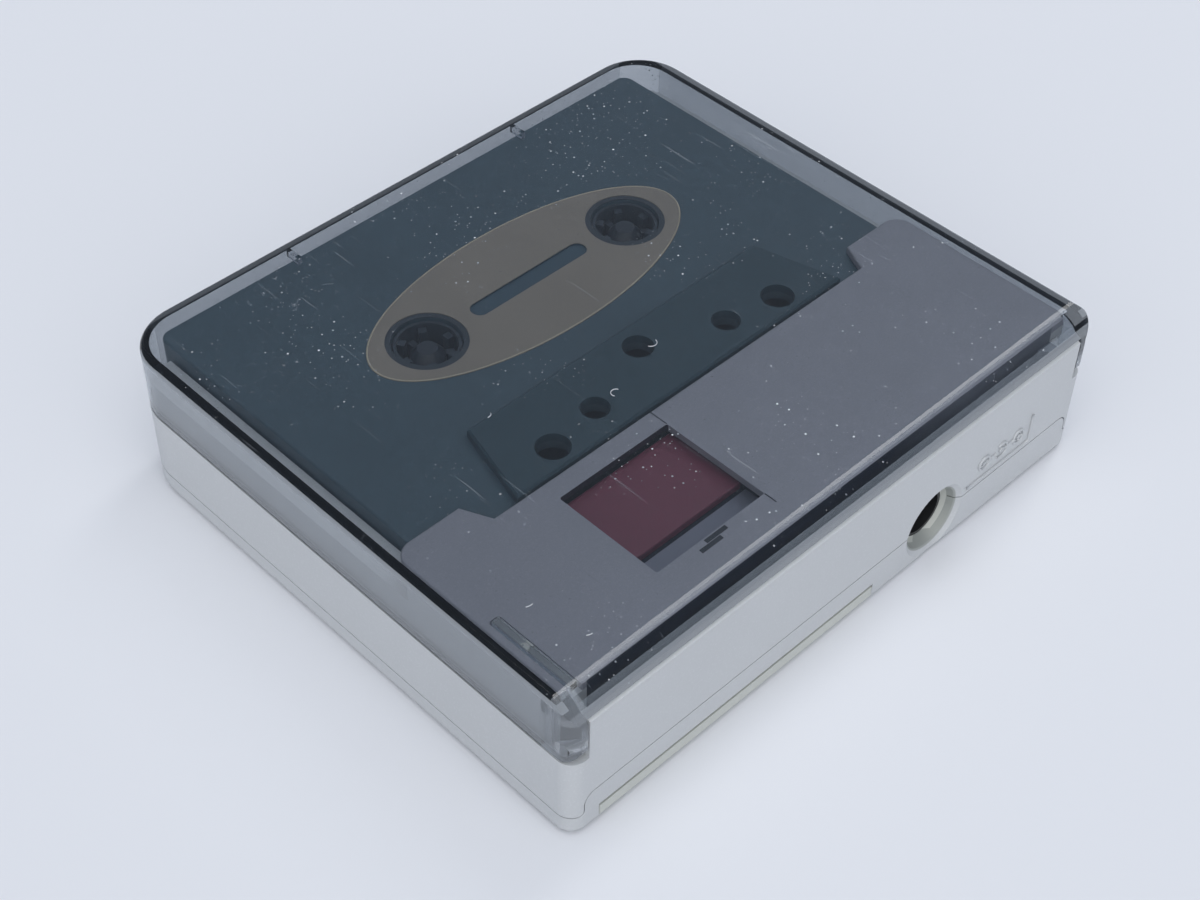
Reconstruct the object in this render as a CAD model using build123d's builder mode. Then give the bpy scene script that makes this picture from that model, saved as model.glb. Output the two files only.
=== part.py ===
"""Battery cassette winder and eraser, its smoked clear lid shut over a compact cassette.

Millimetres, +Z up. The origin is on the table under the middle of the case.
The lid opens at the front (-Y) and hinges at the back (+Y), where the power jack is.
"""
import os
from math import acos, atan2, cos, pi, radians, sin, sqrt, tan

from build123d import *

os.makedirs("parts", exist_ok=True)

# Case
case_side_room = 5.9
case_front_room = 1.75
cell_bay_gap = 1.65
works_height = 7.7
bulge_lid_gap = 0.25
deck_over_plate = 0.85
foot_proud = 0.8
front_corner = 9.3
back_corner = 2.7
tight_corner_share = 0.25
case_wall = 1.8
floor_thick = 2.0
bottom_chamfer = 0.5
parting_side = 4.0
parting_back = 7.9
parting_gap = 0.2
tab_inset = 2.7
tab_corner = 1.9
tab_foot = 1.0
lip_height = 1.0
lip_inset = 1.0
lip_gap = 0.1
overrun = 1.0

# Lid
lid_roof = 1.6
lid_side_wall = 2.0
lid_front_wall = 1.2
lid_inner_corner = 7.0
skirt_height = 11.1
lid_back_height = 3.34
lid_back_round = 5.0
lid_edge_round = 1.1
lid_gap = 0.4
hinge_round = 2.2
cheek_inset = 3.1
cheek_gap = 0.3
lid_rib_spacing = 48.0
lid_rib_length = 2.9
lid_rib_width = 0.8
lid_rib_depth = 1.2
lid_arm_depth = 1.1
lid_arm_width = 1.2

# Hinge pins
hinge_pin_radius = 1.2
hinge_pin_clearance = 0.05
hinge_pin_reach = 6.4
hinge_pin_sink = 0.7
pin_end_gap = 0.2

# Case inside the lid
side_gap = 0.4
rim_drop = 6.2
rim_inset = 11.6
platform_wall = 1.5
platform_skin = 1.6
well_skin = 1.6
back_wall = 1.5
back_wall_swing_gap = 0.14
slot_depth = 4.2
slot_skin = 1.4

# Deck panel
deck_thick = 1.2
deck_mid_gap = 0.6
deck_ear_lap = 4.3
deck_mid_inset = 11.1
deck_ear_gap = 2.3
deck_side_gap = 0.1
deck_back_inset = 4.05
deck_ear_corner = 3.0
deck_ear_round = 3.0
deck_ear_foot = 0.8
deck_edge_round = 0.3
notch_half = 1.0
notch_reach = 6.1
notch_corner = 0.6
seam_width = 0.25
seam_depth = 0.3
seam_end_inset = 4.1

# Compact cassette
cassette_length = 100.4
cassette_depth = 63.8
cassette_body = 8.7
cassette_bulge = 12.0
hub_spacing = 42.5
hub_to_tape_edge = 34.6
cassette_centre = -0.3
cassette_corner = 2.0
cassette_skin = 1.2
cassette_side = 1.5
cassette_gap = 0.4
bulge_half_front = 34.5
bulge_half_rear = 30.6
bulge_depth = 15.0
bulge_gap = 0.2
bulge_skin = 1.2
bulge_edge = 0.35
shell_edge = 0.4
hub_hole_radius = 5.6
label_half_length = 31.5
label_half_depth = 13.1
label_thick = 0.12
label_hub_radius = 6.5
slot_half = 12.0
slot_width = 3.2
window_sink = 0.3
window_thick = 0.8
locator_offset = 24.0
locator_inset = 3.8
locator_radius = 2.7
capstan_offset = 14.0
capstan_inset = 5.4
capstan_radius = 2.3
centre_hole_inset = 10.5
centre_hole_radius = 2.5
mouth_height = 4.8
mouth_depth = 3.6
mouth_centre_half = 6.5
mouth_side_offset = 19.5
mouth_side_half = 2.8

# Cassette insides
hub_radius = 10.8
hub_bore = 4.8
hub_tooth_width = 1.3
hub_tooth_reach = 1.2
hub_collar_radius = 5.3
hub_float = 0.15
hub_collar_rise = 0.8
tape_width = 3.8
pack_left_radius = 20.0
pack_right_radius = 18.8
tape_thick = 0.2
tape_clear = 0.3
tape_steps = 6
roller_inset_x = 6.8
roller_inset_y = 5.2
roller_radius = 2.3
roller_pin_radius = 1.0
pad_width = 5.0
pad_depth = 1.0
pad_spring_width = 20.0
pad_spring_thick = 0.25
shell_screw_radius = 1.1
shell_screw_inset = 4.0
shell_screw_line = 5.0
shell_screw_boss = 2.2
shell_screw_head = 1.7
shell_head_height = 0.8
shell_screw_sunk = 0.1

# Spindles
spindle_core = 2.8
spindle_fin_reach = 4.2
spindle_fin_width = 1.1
spindle_fins = 3
hub_teeth = 6
spindle_rise = 7.4
spindle_tip = 1.6
spindle_tip_height = 1.4
spindle_collar = 4.3
spindle_shaft = 1.8
spindle_below_gear = 0.2
spindle_hole_gap = 0.5
supply_drop = 3.1
brake_disc_radius = 6.5
brake_disc_thick = 1.0
felt_inner = 3.4
felt_outer = 6.0
felt_gap = 0.1
bush_radius = 3.0
bush_drop = 0.7
bush_rise = 0.8
running_clearance = 0.05

# Gear train and belt
gear_module = 0.7
drive_teeth = 30
idler_teeth = 24
pinion_teeth = 12
pressure_angle = 20.0
addendum_share = 0.85
dedendum_share = 1.1
flank_shares = (0.0, 0.5, 1.0)
backlash = 0.14
gear_floor_gap = 0.8
gear_thick = 2.0
gear_hub_radius = 2.6
gear_step = 0.5
gear_end_gap = 0.3
drive_to_idler = 115.0
idler_to_pinion = 60.0
belt_disc_radius = 11.0
belt_disc_thick = 2.6
belt_groove_depth = 1.5
belt_groove_width = 1.6
belt_width = 1.0
belt_float = 0.25
motor_pulley_radius = 3.4
axle_radius = 1.0
rivet_radius = 1.6
rivet_height = 0.6
clip_radius = 2.0
clip_thick = 0.4
clip_gap = 0.1

# Chassis plate
plate_thick = 1.0
plate_side_inset = 6.7
plate_front_reach = 17.8
plate_back_inset = 0.4
plate_tab_left_reach = 12.5
plate_tab_right_reach = 10.5
plate_tab_back_reach = 8.0
plate_corner = 2.0
chassis_screw_inset = 3.5
chassis_screw_radius = 0.9
chassis_head_radius = 1.9
chassis_head_height = 1.2
chassis_boss_radius = 2.4
chassis_screw_length = 4.0

# Motor
motor_side_inset = 18.1
motor_back_inset = 17.15
motor_radius = 11.0
motor_height = 9.8
motor_edge = 1.2
motor_nose_radius = 3.0
motor_nose_height = 0.8
motor_cap_radius = 7.5
motor_cap_height = 0.8
motor_shaft_radius = 0.75
motor_shaft_drop = 0.7
motor_shaft_depth = 3.0

# Power jack
jack_to_cradle = 14.55
jack_height = 6.6
jack_recess_outer = 6.5
jack_recess_inner = 4.7
jack_recess_depth = 2.6
jack_flare = 1.0
jack_flare_depth = 0.75
jack_mouth_radius = 3.7
jack_mouth_length = 3.0
jack_barrel_radius = 2.7
jack_barrel_length = 5.5
jack_pin_radius = 0.6
jack_pin_sink = 1.0
jack_nose_radius = 4.3
jack_nose_length = 1.2
jack_nose_gap = 0.1
jack_half_width = 4.6
jack_length = 10.0
shroud_skin = 1.0

# Circuit board
board_floor_gap = 10.2
board_thick = 1.4
board_left_reach = 5.2
board_right_reach = 12.4
board_depth = 23.9
board_back_inset = 6.25
board_post_radius = 1.6
board_post_inset = 2.2
cap_radius = 3.2
cap_height = 7.0
chip_length = 9.0
chip_depth = 6.0
chip_height = 2.0
resistor_radius = 1.0
resistor_length = 6.0
resistor_pitch = 2.6
resistor_front = 12.5
chip_front = 5.0

# Cells and door
cell_radius = 7.25
cell_length = 50.5
cell_button_radius = 2.75
cell_button_length = 1.0
cell_rise = 0.2
cell_gap = 0.25
cell_end_gap = 1.4
door_inset = 5.5
door_end_room = 0.9
door_thick = 1.6
door_lip_height = 2.4
door_lip_thick = 1.7
door_front_gap = 0.65
door_tongue = 1.0
door_tongue_thick = 0.8
door_gap = 0.1
door_grip_count = 4
door_grip_pitch = 2.2
door_grip_width = 1.1
door_grip_depth = 0.4
door_grip_length = 18.0
door_grip_inset = 6.0
cradle_end = 1.0
cradle_skin = 0.65
cradle_side = 0.15
cradle_flange = 1.9
cradle_flange_thick = 1.2
contact_thick = 0.4
contact_half = 5.0
contact_leaf_half = 2.5

# Erase window, slider and magnet arm
window_left = 8.4
window_right = 30.0
window_to_cassette = 4.1
window_depth = 19.2
window_corner = 0.4
pocket_left_room = 1.3
pocket_right_room = 0.1
pocket_front_room = 1.8
pocket_rear_room = 0.4
pocket_wall = 1.0
pocket_skin = 1.2
slider_drop = 2.3
slider_thick = 1.2
slider_gap = 0.1
slider_left_gap = 0.4
slider_right_gap = 0.6
slider_front_lap = 0.1
slider_length = 14.1
slider_travel = 5.0
slider_edge = 0.25
slider_pin_radius = 1.2
slider_slot_gap = 0.3
arm_pivot_left = 3.4
arm_pivot_back = 1.0
arm_in = 14.0
arm_out = 7.0
arm_drop = 3.0
arm_thick = 1.4
arm_gap = 0.4
arm_eye = 3.0
arm_slot_gap = 0.2
arm_slot_wall = 0.9
magnet_width = 4.0
magnet_depth = 2.0
magnet_height = 4.0
pivot_radius = 1.25
pivot_clearance = 0.05
pivot_head = 2.2
pivot_head_thick = 0.3
pivot_head_gap = 0.1
pivot_boss_radius = 2.4
magnet_slot_gap = 1.3
magnet_slot_rise = 0.5

# Lid switch
plunger_inset = 4.6
plunger_back_inset = 13.65
plunger_radius = 0.7
plunger_gap = 0.15
plunger_length = 5.2
leaf_thick = 0.3
leaf_gap = 0.1
leaf_reach = 3.0
leaf_half_width = 0.6
switch_left_reach = 1.8
switch_front_reach = 10.0
switch_length = 7.0
switch_height = 3.0
switch_leaf_rise = 1.0

# Screws and feet
case_screw_radius = 1.2
case_head_radius = 2.5
case_head_height = 1.8
case_screw_length = 9.0
case_screw_clearance = 0.2
case_seat_height = 2.6
case_seat_skin = 1.4
case_boss_radius = 3.0
case_lower_boss = 4.2
case_boss_gap = 0.1
case_screw_side_inset = 7.6
case_screw_front_inset = 7.65
case_screw_mid_inset = 7.9
case_screw_back_side_inset = 7.1
case_screw_back_inset = 5.65
foot_radius = 4.0
foot_sink = 0.5
foot_edge = 0.3
foot_side_inset = 14.6
foot_front_inset = 14.15
foot_back_inset = 17.65
door_foot_inset = 9.65

# Case sizes worked out from the cassette, the cells and the works inside
case_width = cassette_length + 2 * case_side_room
cell_bay = case_wall + cradle_side + 4 * cell_radius + 2 * cell_gap + cradle_skin + cell_bay_gap
case_depth = case_front_room + cassette_depth + cell_bay
half_width = case_width / 2
half_depth = case_depth / 2
case_bottom = foot_proud
floor_top = case_bottom + floor_thick
plate_low = floor_top + works_height
plate_top = plate_low + plate_thick
bulge_rise = (cassette_bulge - cassette_body) / 2
bulge_under = plate_top + deck_over_plate
bulge_floor = bulge_under + bulge_skin
cassette_floor = bulge_floor + bulge_gap + bulge_rise
cassette_top = cassette_floor + cassette_body
cassette_middle = cassette_floor + cassette_body / 2
lid_under = cassette_top + bulge_rise + bulge_lid_gap
total_height = lid_under + lid_roof

# Lid, deck and walls
back_inner = half_depth - case_wall
tab_half = half_width - tab_inset
lid_inner_half = half_width - lid_side_wall
lid_inner_front = -half_depth + lid_front_wall
skirt_bottom = total_height - skirt_height
lid_back_bottom = total_height - lid_back_height
deck_top = lid_under - lid_gap
platform_top = deck_top - deck_thick
platform_under = platform_top - platform_skin
ledge = skirt_bottom - lid_gap
inner_half = lid_inner_half - side_gap
upper_front = lid_inner_front + side_gap
rim_top = total_height - rim_drop
rim_front_end = half_width - rim_inset
hinge_y = half_depth - hinge_round
hinge_z = skirt_bottom + hinge_round
hinge_pin_inner = half_width - hinge_pin_reach
hinge_pin_outer = half_width - hinge_pin_sink
cheek_inner = half_width - cheek_inset
cheek_half = cheek_inner - cheek_gap
cheek_front = hinge_y - hinge_round - cheek_gap
slot_floor = platform_top - slot_depth
slot_back = half_depth - back_wall
round_y = half_depth - lid_back_round
round_z = total_height - lid_back_round
inner_round = lid_back_round - lid_roof
back_edge_y = round_y + sqrt(inner_round**2 - (lid_back_bottom - round_z) ** 2)
swing_radius = sqrt((back_edge_y - hinge_y) ** 2 + (lid_back_bottom - hinge_z) ** 2)
back_wall_radius = swing_radius - back_wall_swing_gap

# Cassette
cassette_left = cassette_centre - cassette_length / 2
cassette_right = cassette_centre + cassette_length / 2
cassette_front = -half_depth + case_front_room
tape_edge = cassette_front + cassette_depth
hub_line = tape_edge - hub_to_tape_edge
hub_x = (cassette_centre - hub_spacing / 2, cassette_centre + hub_spacing / 2)
well_left = cassette_left - cassette_gap
well_right = cassette_right + cassette_gap
well_under = cassette_floor - well_skin
shell_inner_low = cassette_floor + cassette_skin
shell_inner_high = cassette_top - cassette_skin
shell_screw_high = shell_inner_high - hub_float
tape_low = cassette_middle - tape_width / 2
tape_high = cassette_middle + tape_width / 2
deck_mid_front = tape_edge + deck_mid_gap
deck_ear_front = tape_edge - deck_ear_lap
deck_mid_half = cassette_length / 2 - deck_mid_inset
deck_ear_inner = deck_mid_half + deck_ear_gap
deck_half = inner_half - deck_side_gap
deck_back = half_depth - deck_back_inset
seam_end = deck_back - seam_end_inset
platform_front = deck_mid_front - parting_gap

# Spindles, gears, belt and plate
spindle_top = cassette_floor + spindle_rise
bush_low = plate_low - bush_drop
bush_high = plate_top + bush_rise
supply_low = plate_low - supply_drop
gear_low = floor_top + gear_floor_gap
spindle_low = gear_low - spindle_below_gear
hub_end = plate_low - gear_end_gap
drive_pitch = gear_module * drive_teeth / 2
idler_pitch = gear_module * idler_teeth / 2
pinion_pitch = gear_module * pinion_teeth / 2
take_up_x = hub_x[0]
supply_x = hub_x[1]
idler_x = take_up_x + (drive_pitch + idler_pitch) * cos(radians(drive_to_idler))
idler_y = hub_line + (drive_pitch + idler_pitch) * sin(radians(drive_to_idler))
pulley_x = idler_x + (idler_pitch + pinion_pitch) * cos(radians(idler_to_pinion))
pulley_y = idler_y + (idler_pitch + pinion_pitch) * sin(radians(idler_to_pinion))
belt_disc_low = gear_low + gear_thick + gear_step
belt_low = belt_disc_low + (belt_disc_thick - belt_width) / 2
belt_big = belt_disc_radius - belt_groove_depth + belt_float
belt_small = motor_pulley_radius - belt_groove_depth + belt_float
axle_low = floor_top + clip_gap
motor_x = -half_width + motor_side_inset
motor_y = half_depth - motor_back_inset
motor_shaft_low = belt_disc_low - motor_shaft_drop
plate_half = cassette_length / 2 - plate_side_inset
plate_front = hub_line - plate_front_reach
plate_back = tape_edge - plate_back_inset
plate_tab_left = motor_x - plate_tab_left_reach
plate_tab_right = motor_x + plate_tab_right_reach
plate_tab_back = motor_y + plate_tab_back_reach
chassis_screw_x = plate_half - chassis_screw_inset
chassis_screw_front = plate_front + chassis_screw_inset
chassis_screw_back = plate_back - chassis_screw_inset

# Cells, door, jack and board
cell_low = case_bottom + door_thick + cell_rise
cell_z = cell_low + cell_radius
cell_back_y = back_inner - cell_radius - cradle_side
cell_front_y = cell_back_y - 2 * cell_radius - cell_gap
door_half = cell_length / 2 + cell_end_gap + cradle_end + door_end_room
door_centre = half_width - door_inset - door_half
cell_left = door_centre - cell_length / 2 - cell_gap
cell_right = cell_left + cell_length
cradle_left = cell_left - cell_end_gap - cradle_end
cradle_right = cell_right + cell_end_gap + cradle_end
channel_radius = cell_radius + cell_gap
vault_radius = channel_radius + cradle_skin
cradle_front = cell_front_y - vault_radius
door_left = door_centre - door_half
door_right = door_centre + door_half
door_front = cradle_front + door_front_gap
door_top = case_bottom + door_thick
jack_x = cradle_left - jack_to_cradle
jack_z = case_bottom + jack_height
jack_face = half_depth - jack_recess_depth
jack_wall_outer = jack_recess_outer - jack_flare
jack_wall_end = half_depth - jack_flare_depth
jack_slope = (jack_wall_outer - jack_recess_inner) / (jack_wall_end - jack_face)
board_low = floor_top + board_floor_gap
board_left = jack_x - board_left_reach
board_right = jack_x + board_right_reach
board_back = half_depth - board_back_inset
board_front = board_back - board_depth

# Erase window, slider, magnet arm, lid switch, screws and feet
window_front = tape_edge + window_to_cassette
window_rear = window_front + window_depth
pocket_left = window_left - pocket_left_room
pocket_right = window_right + pocket_right_room
pocket_front = window_front - pocket_front_room
pocket_rear = window_rear + pocket_rear_room
slider_left = pocket_left + slider_left_gap
slider_right = pocket_right - slider_right_gap
slider_front = window_front - slider_front_lap
arm_pivot_x = window_left - arm_pivot_left
arm_pivot_y = window_front + arm_pivot_back
slider_top = deck_top - slider_drop
slider_low = slider_top - slider_thick
pocket_floor = slider_low - slider_gap
pocket_under = pocket_floor - pocket_skin
arm_top = pocket_under - arm_gap
arm_low = arm_top - arm_thick
slider_pin_x = arm_pivot_x + arm_in
slider_pin_low = arm_low - slider_gap
arm_reach_far = sqrt(arm_in**2 + slider_travel**2)
magnet_x = arm_pivot_x - arm_out
magnet_y = arm_pivot_y - arm_drop
magnet_low = cassette_middle - magnet_height / 2
plunger_x = half_width - plunger_inset
plunger_y = half_depth - plunger_back_inset
notch_inner = plunger_x - notch_half
notch_outer = plunger_x + notch_half
notch_front = plunger_y - notch_reach
switch_left = plunger_x - switch_left_reach
switch_front = plunger_y - switch_front_reach
lid_arm_low = lid_under - lid_arm_depth
plunger_top = lid_arm_low - plunger_gap
plunger_low = plunger_top - plunger_length
leaf_top = plunger_low - leaf_gap
switch_top = leaf_top - leaf_thick - switch_leaf_rise
case_screw_front_x = half_width - case_screw_side_inset
case_screw_front_y = -half_depth + case_screw_front_inset
case_screw_mid_y = tape_edge - case_screw_mid_inset
case_screw_back_x = -half_width + case_screw_back_side_inset
case_screw_back_y = half_depth - case_screw_back_inset
foot_x = half_width - foot_side_inset
foot_front = -half_depth + foot_front_inset
foot_back = half_depth - foot_back_inset
door_foot_y = half_depth - door_foot_inset
case_seat = case_bottom + case_seat_height
case_seat_top = case_seat + case_seat_skin
case_screws_at = (
    (-case_screw_front_x, case_screw_front_y),
    (case_screw_front_x, case_screw_front_y),
    (case_screw_front_x, case_screw_mid_y),
    (case_screw_back_x, case_screw_back_y),
)
chassis_screws_at = (
    (-chassis_screw_x, chassis_screw_front),
    (chassis_screw_x, chassis_screw_front),
    (chassis_screw_x, chassis_screw_back),
    (-chassis_screw_x, chassis_screw_back),
)
feet_at = ((-foot_x, foot_front), (foot_x, foot_front), (-foot_x, foot_back))
board_posts_at = (
    (board_left + board_post_inset, board_front + board_post_inset),
    (board_right - board_post_inset, board_back - board_post_inset),
)


def rect(x0, x1, y0, y1, radius=0):
    """Rectangle between two corners, rounded where a radius is given."""
    with BuildSketch(mode=Mode.PRIVATE) as outline:
        with Locations(((x0 + x1) / 2, (y0 + y1) / 2)):
            Rectangle(x1 - x0, y1 - y0)
        if radius > 0:
            fillet(outline.vertices(), radius)
    return outline.sketch


def case_plan(inset):
    """Case outline from above, moved in by inset: wide front corners and tight back ones."""
    back_radius = max(back_corner - inset, back_corner * tight_corner_share)
    with BuildSketch(mode=Mode.PRIVATE) as outline:
        Rectangle(case_width - 2 * inset, case_depth - 2 * inset)
        fillet(outline.vertices().group_by(Axis.Y)[0], front_corner - inset)
        fillet(outline.vertices().group_by(Axis.Y)[-1], back_radius)
    return outline.sketch


def front_rounded(half, front, back, radius):
    """Rectangle about the middle line whose two front corners are rounded."""
    with BuildSketch(mode=Mode.PRIVATE) as outline:
        with Locations((0, (front + back) / 2)):
            Rectangle(2 * half, back - front)
        fillet(outline.vertices().group_by(Axis.Y)[0], radius)
    return outline.sketch


def slab(outline, low, high, mode=Mode.ADD):
    """Extrude an outline drawn in X and Y between two heights."""
    with BuildSketch(Plane.XY.offset(low), mode=Mode.PRIVATE) as layer:
        add(outline)
    extrude(layer.sketch, amount=high - low, mode=mode)


def across(outline, x0, x1, mode=Mode.ADD):
    """Extrude an outline drawn in Y and Z from x0 to x1."""
    with BuildSketch(Plane.YZ.offset(x0), mode=Mode.PRIVATE) as layer:
        add(outline)
    extrude(layer.sketch, amount=x1 - x0, mode=mode)


def along(outline, y0, y1, mode=Mode.ADD):
    """Extrude an outline drawn in X and Z from y0 to y1."""
    with BuildSketch(Plane.XZ.offset(-y1), mode=Mode.PRIVATE) as layer:
        add(outline)
    extrude(layer.sketch, amount=y1 - y0, mode=mode)


def rod(x, y, radius, low, high, mode=Mode.ADD):
    """Upright cylinder between two heights."""
    with Locations((x, y, low)):
        Cylinder(radius, high - low, align=(Align.CENTER, Align.CENTER, Align.MIN), mode=mode)


def cross_rod(x0, x1, y, z, radius, mode=Mode.ADD):
    """Cylinder along X from x0 to x1."""
    with Locations(((x0 + x1) / 2, y, z)):
        Cylinder(radius, x1 - x0, rotation=(0, 90, 0), mode=mode)


def back_cone(y0, y1, radius0, radius1, mode=Mode.ADD):
    """Cone on the power jack's axis, with one radius at each end."""
    with Locations((jack_x, y0, jack_z)):
        Cone(radius0, radius1, y1 - y0, rotation=(-90, 0, 0),
             align=(Align.CENTER, Align.CENTER, Align.MIN), mode=mode)


def back_rod(y0, y1, radius, mode=Mode.ADD):
    """Cylinder on the power jack's axis."""
    with Locations((jack_x, (y0 + y1) / 2, jack_z)):
        Cylinder(radius, y1 - y0, rotation=(-90, 0, 0), mode=mode)


def jack_recess():
    """Cut the plug recess: a narrowing wall behind a flared mouth in the back face."""
    back_cone(jack_face, jack_wall_end, jack_recess_inner, jack_wall_outer, Mode.SUBTRACT)
    back_cone(jack_wall_end, half_depth + overrun, jack_wall_outer,
              jack_recess_outer + overrun * jack_flare / jack_flare_depth, Mode.SUBTRACT)


def raised_back(grow):
    """Upper edge of the lower case's back wall in X and Z: its raised part on rounded feet."""
    low = parting_side + grow
    high = parting_back + grow
    with BuildSketch(mode=Mode.PRIVATE) as outline:
        with Locations((0, low / 2)):
            Rectangle(case_width + 2 * overrun, low)
        with Locations((0, high / 2)):
            Rectangle(2 * (tab_half + grow), high)
        fillet(outline.vertices().group_by(Axis.Y)[-1], tab_corner + grow)
        inner = [v for v in outline.vertices() if abs(v.Y - low) < parting_gap / 2
                 and abs(v.X) < half_width - parting_gap]
        fillet(inner, tab_foot - grow)
    return outline.sketch


def bulge_plan(grow):
    """Thicker part of the cassette along its tape edge: a trapezium from above, grown by a gap."""
    rear = tape_edge - bulge_depth
    with BuildSketch(mode=Mode.PRIVATE) as outline:
        with BuildLine():
            Polyline(
                (cassette_centre - bulge_half_rear - grow, rear - grow),
                (cassette_centre + bulge_half_rear + grow, rear - grow),
                (cassette_centre + bulge_half_front + grow, tape_edge + grow),
                (cassette_centre - bulge_half_front - grow, tape_edge + grow),
                close=True,
            )
        make_face()
    return outline.sketch


def window_plan():
    """Rounded slot in the middle of the cassette."""
    with BuildSketch(mode=Mode.PRIVATE) as outline:
        with Locations((cassette_centre, hub_line)):
            SlotOverall(2 * slot_half, slot_width)
    return outline.sketch


def finish(builder, name):
    """Name a finished piece and write it to its own file."""
    builder.part.label = name
    export_step(builder.part, f"parts/{name}.step")


# Lower case: tray with a raised back, door rails, screw seats and foot pockets
with BuildPart() as lower_case:
    slab(case_plan(0), case_bottom, parting_back)
    chamfer(lower_case.faces().sort_by(Axis.Z)[0].outer_wire().edges(), bottom_chamfer)
    slab(case_plan(case_wall), floor_top, parting_back + overrun, Mode.SUBTRACT)
    slab(rect(-half_width - overrun, half_width + overrun, -half_depth - overrun, back_inner),
         parting_side, parting_back + overrun, Mode.SUBTRACT)
    with BuildSketch(Plane.XZ.offset(-half_depth - overrun)) as beside_tab:
        with Locations((0, parting_side + parting_back)):
            Rectangle(case_width + 2 * overrun, 2 * parting_back)
        add(raised_back(0), mode=Mode.SUBTRACT)
    extrude(amount=case_wall + 2 * overrun, mode=Mode.SUBTRACT)
    with BuildSketch(Plane.XY.offset(floor_top)) as lip:
        add(case_plan(lip_inset))
        add(case_plan(case_wall), mode=Mode.SUBTRACT)
    extrude(amount=parting_side + lip_height - floor_top)
    for x, y in case_screws_at:
        rod(x, y, case_lower_boss, case_bottom, case_seat_top)
    slab(rect(door_left - door_gap, door_right + door_gap, door_front - door_gap, half_depth + overrun),
         door_top - door_tongue_thick - door_gap, floor_top + overrun, Mode.SUBTRACT)
    slab(rect(door_left + door_tongue - door_gap, door_right - door_tongue + door_gap,
              door_front - door_gap, half_depth + overrun),
         0, floor_top + overrun, Mode.SUBTRACT)
    slab(rect(door_left - door_gap, door_right + door_gap, back_inner - door_gap, half_depth + overrun),
         0, case_bottom + door_lip_height + door_gap, Mode.SUBTRACT)
    jack_recess()
    for x, y in case_screws_at:
        rod(x, y, case_head_radius + case_screw_clearance, 0, case_seat, Mode.SUBTRACT)
        rod(x, y, case_screw_radius + case_screw_clearance, 0, case_seat_top + overrun, Mode.SUBTRACT)
    for x, y in feet_at:
        rod(x, y, foot_radius, 0, case_bottom + foot_sink, Mode.SUBTRACT)
finish(lower_case, "lower_case")

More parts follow.
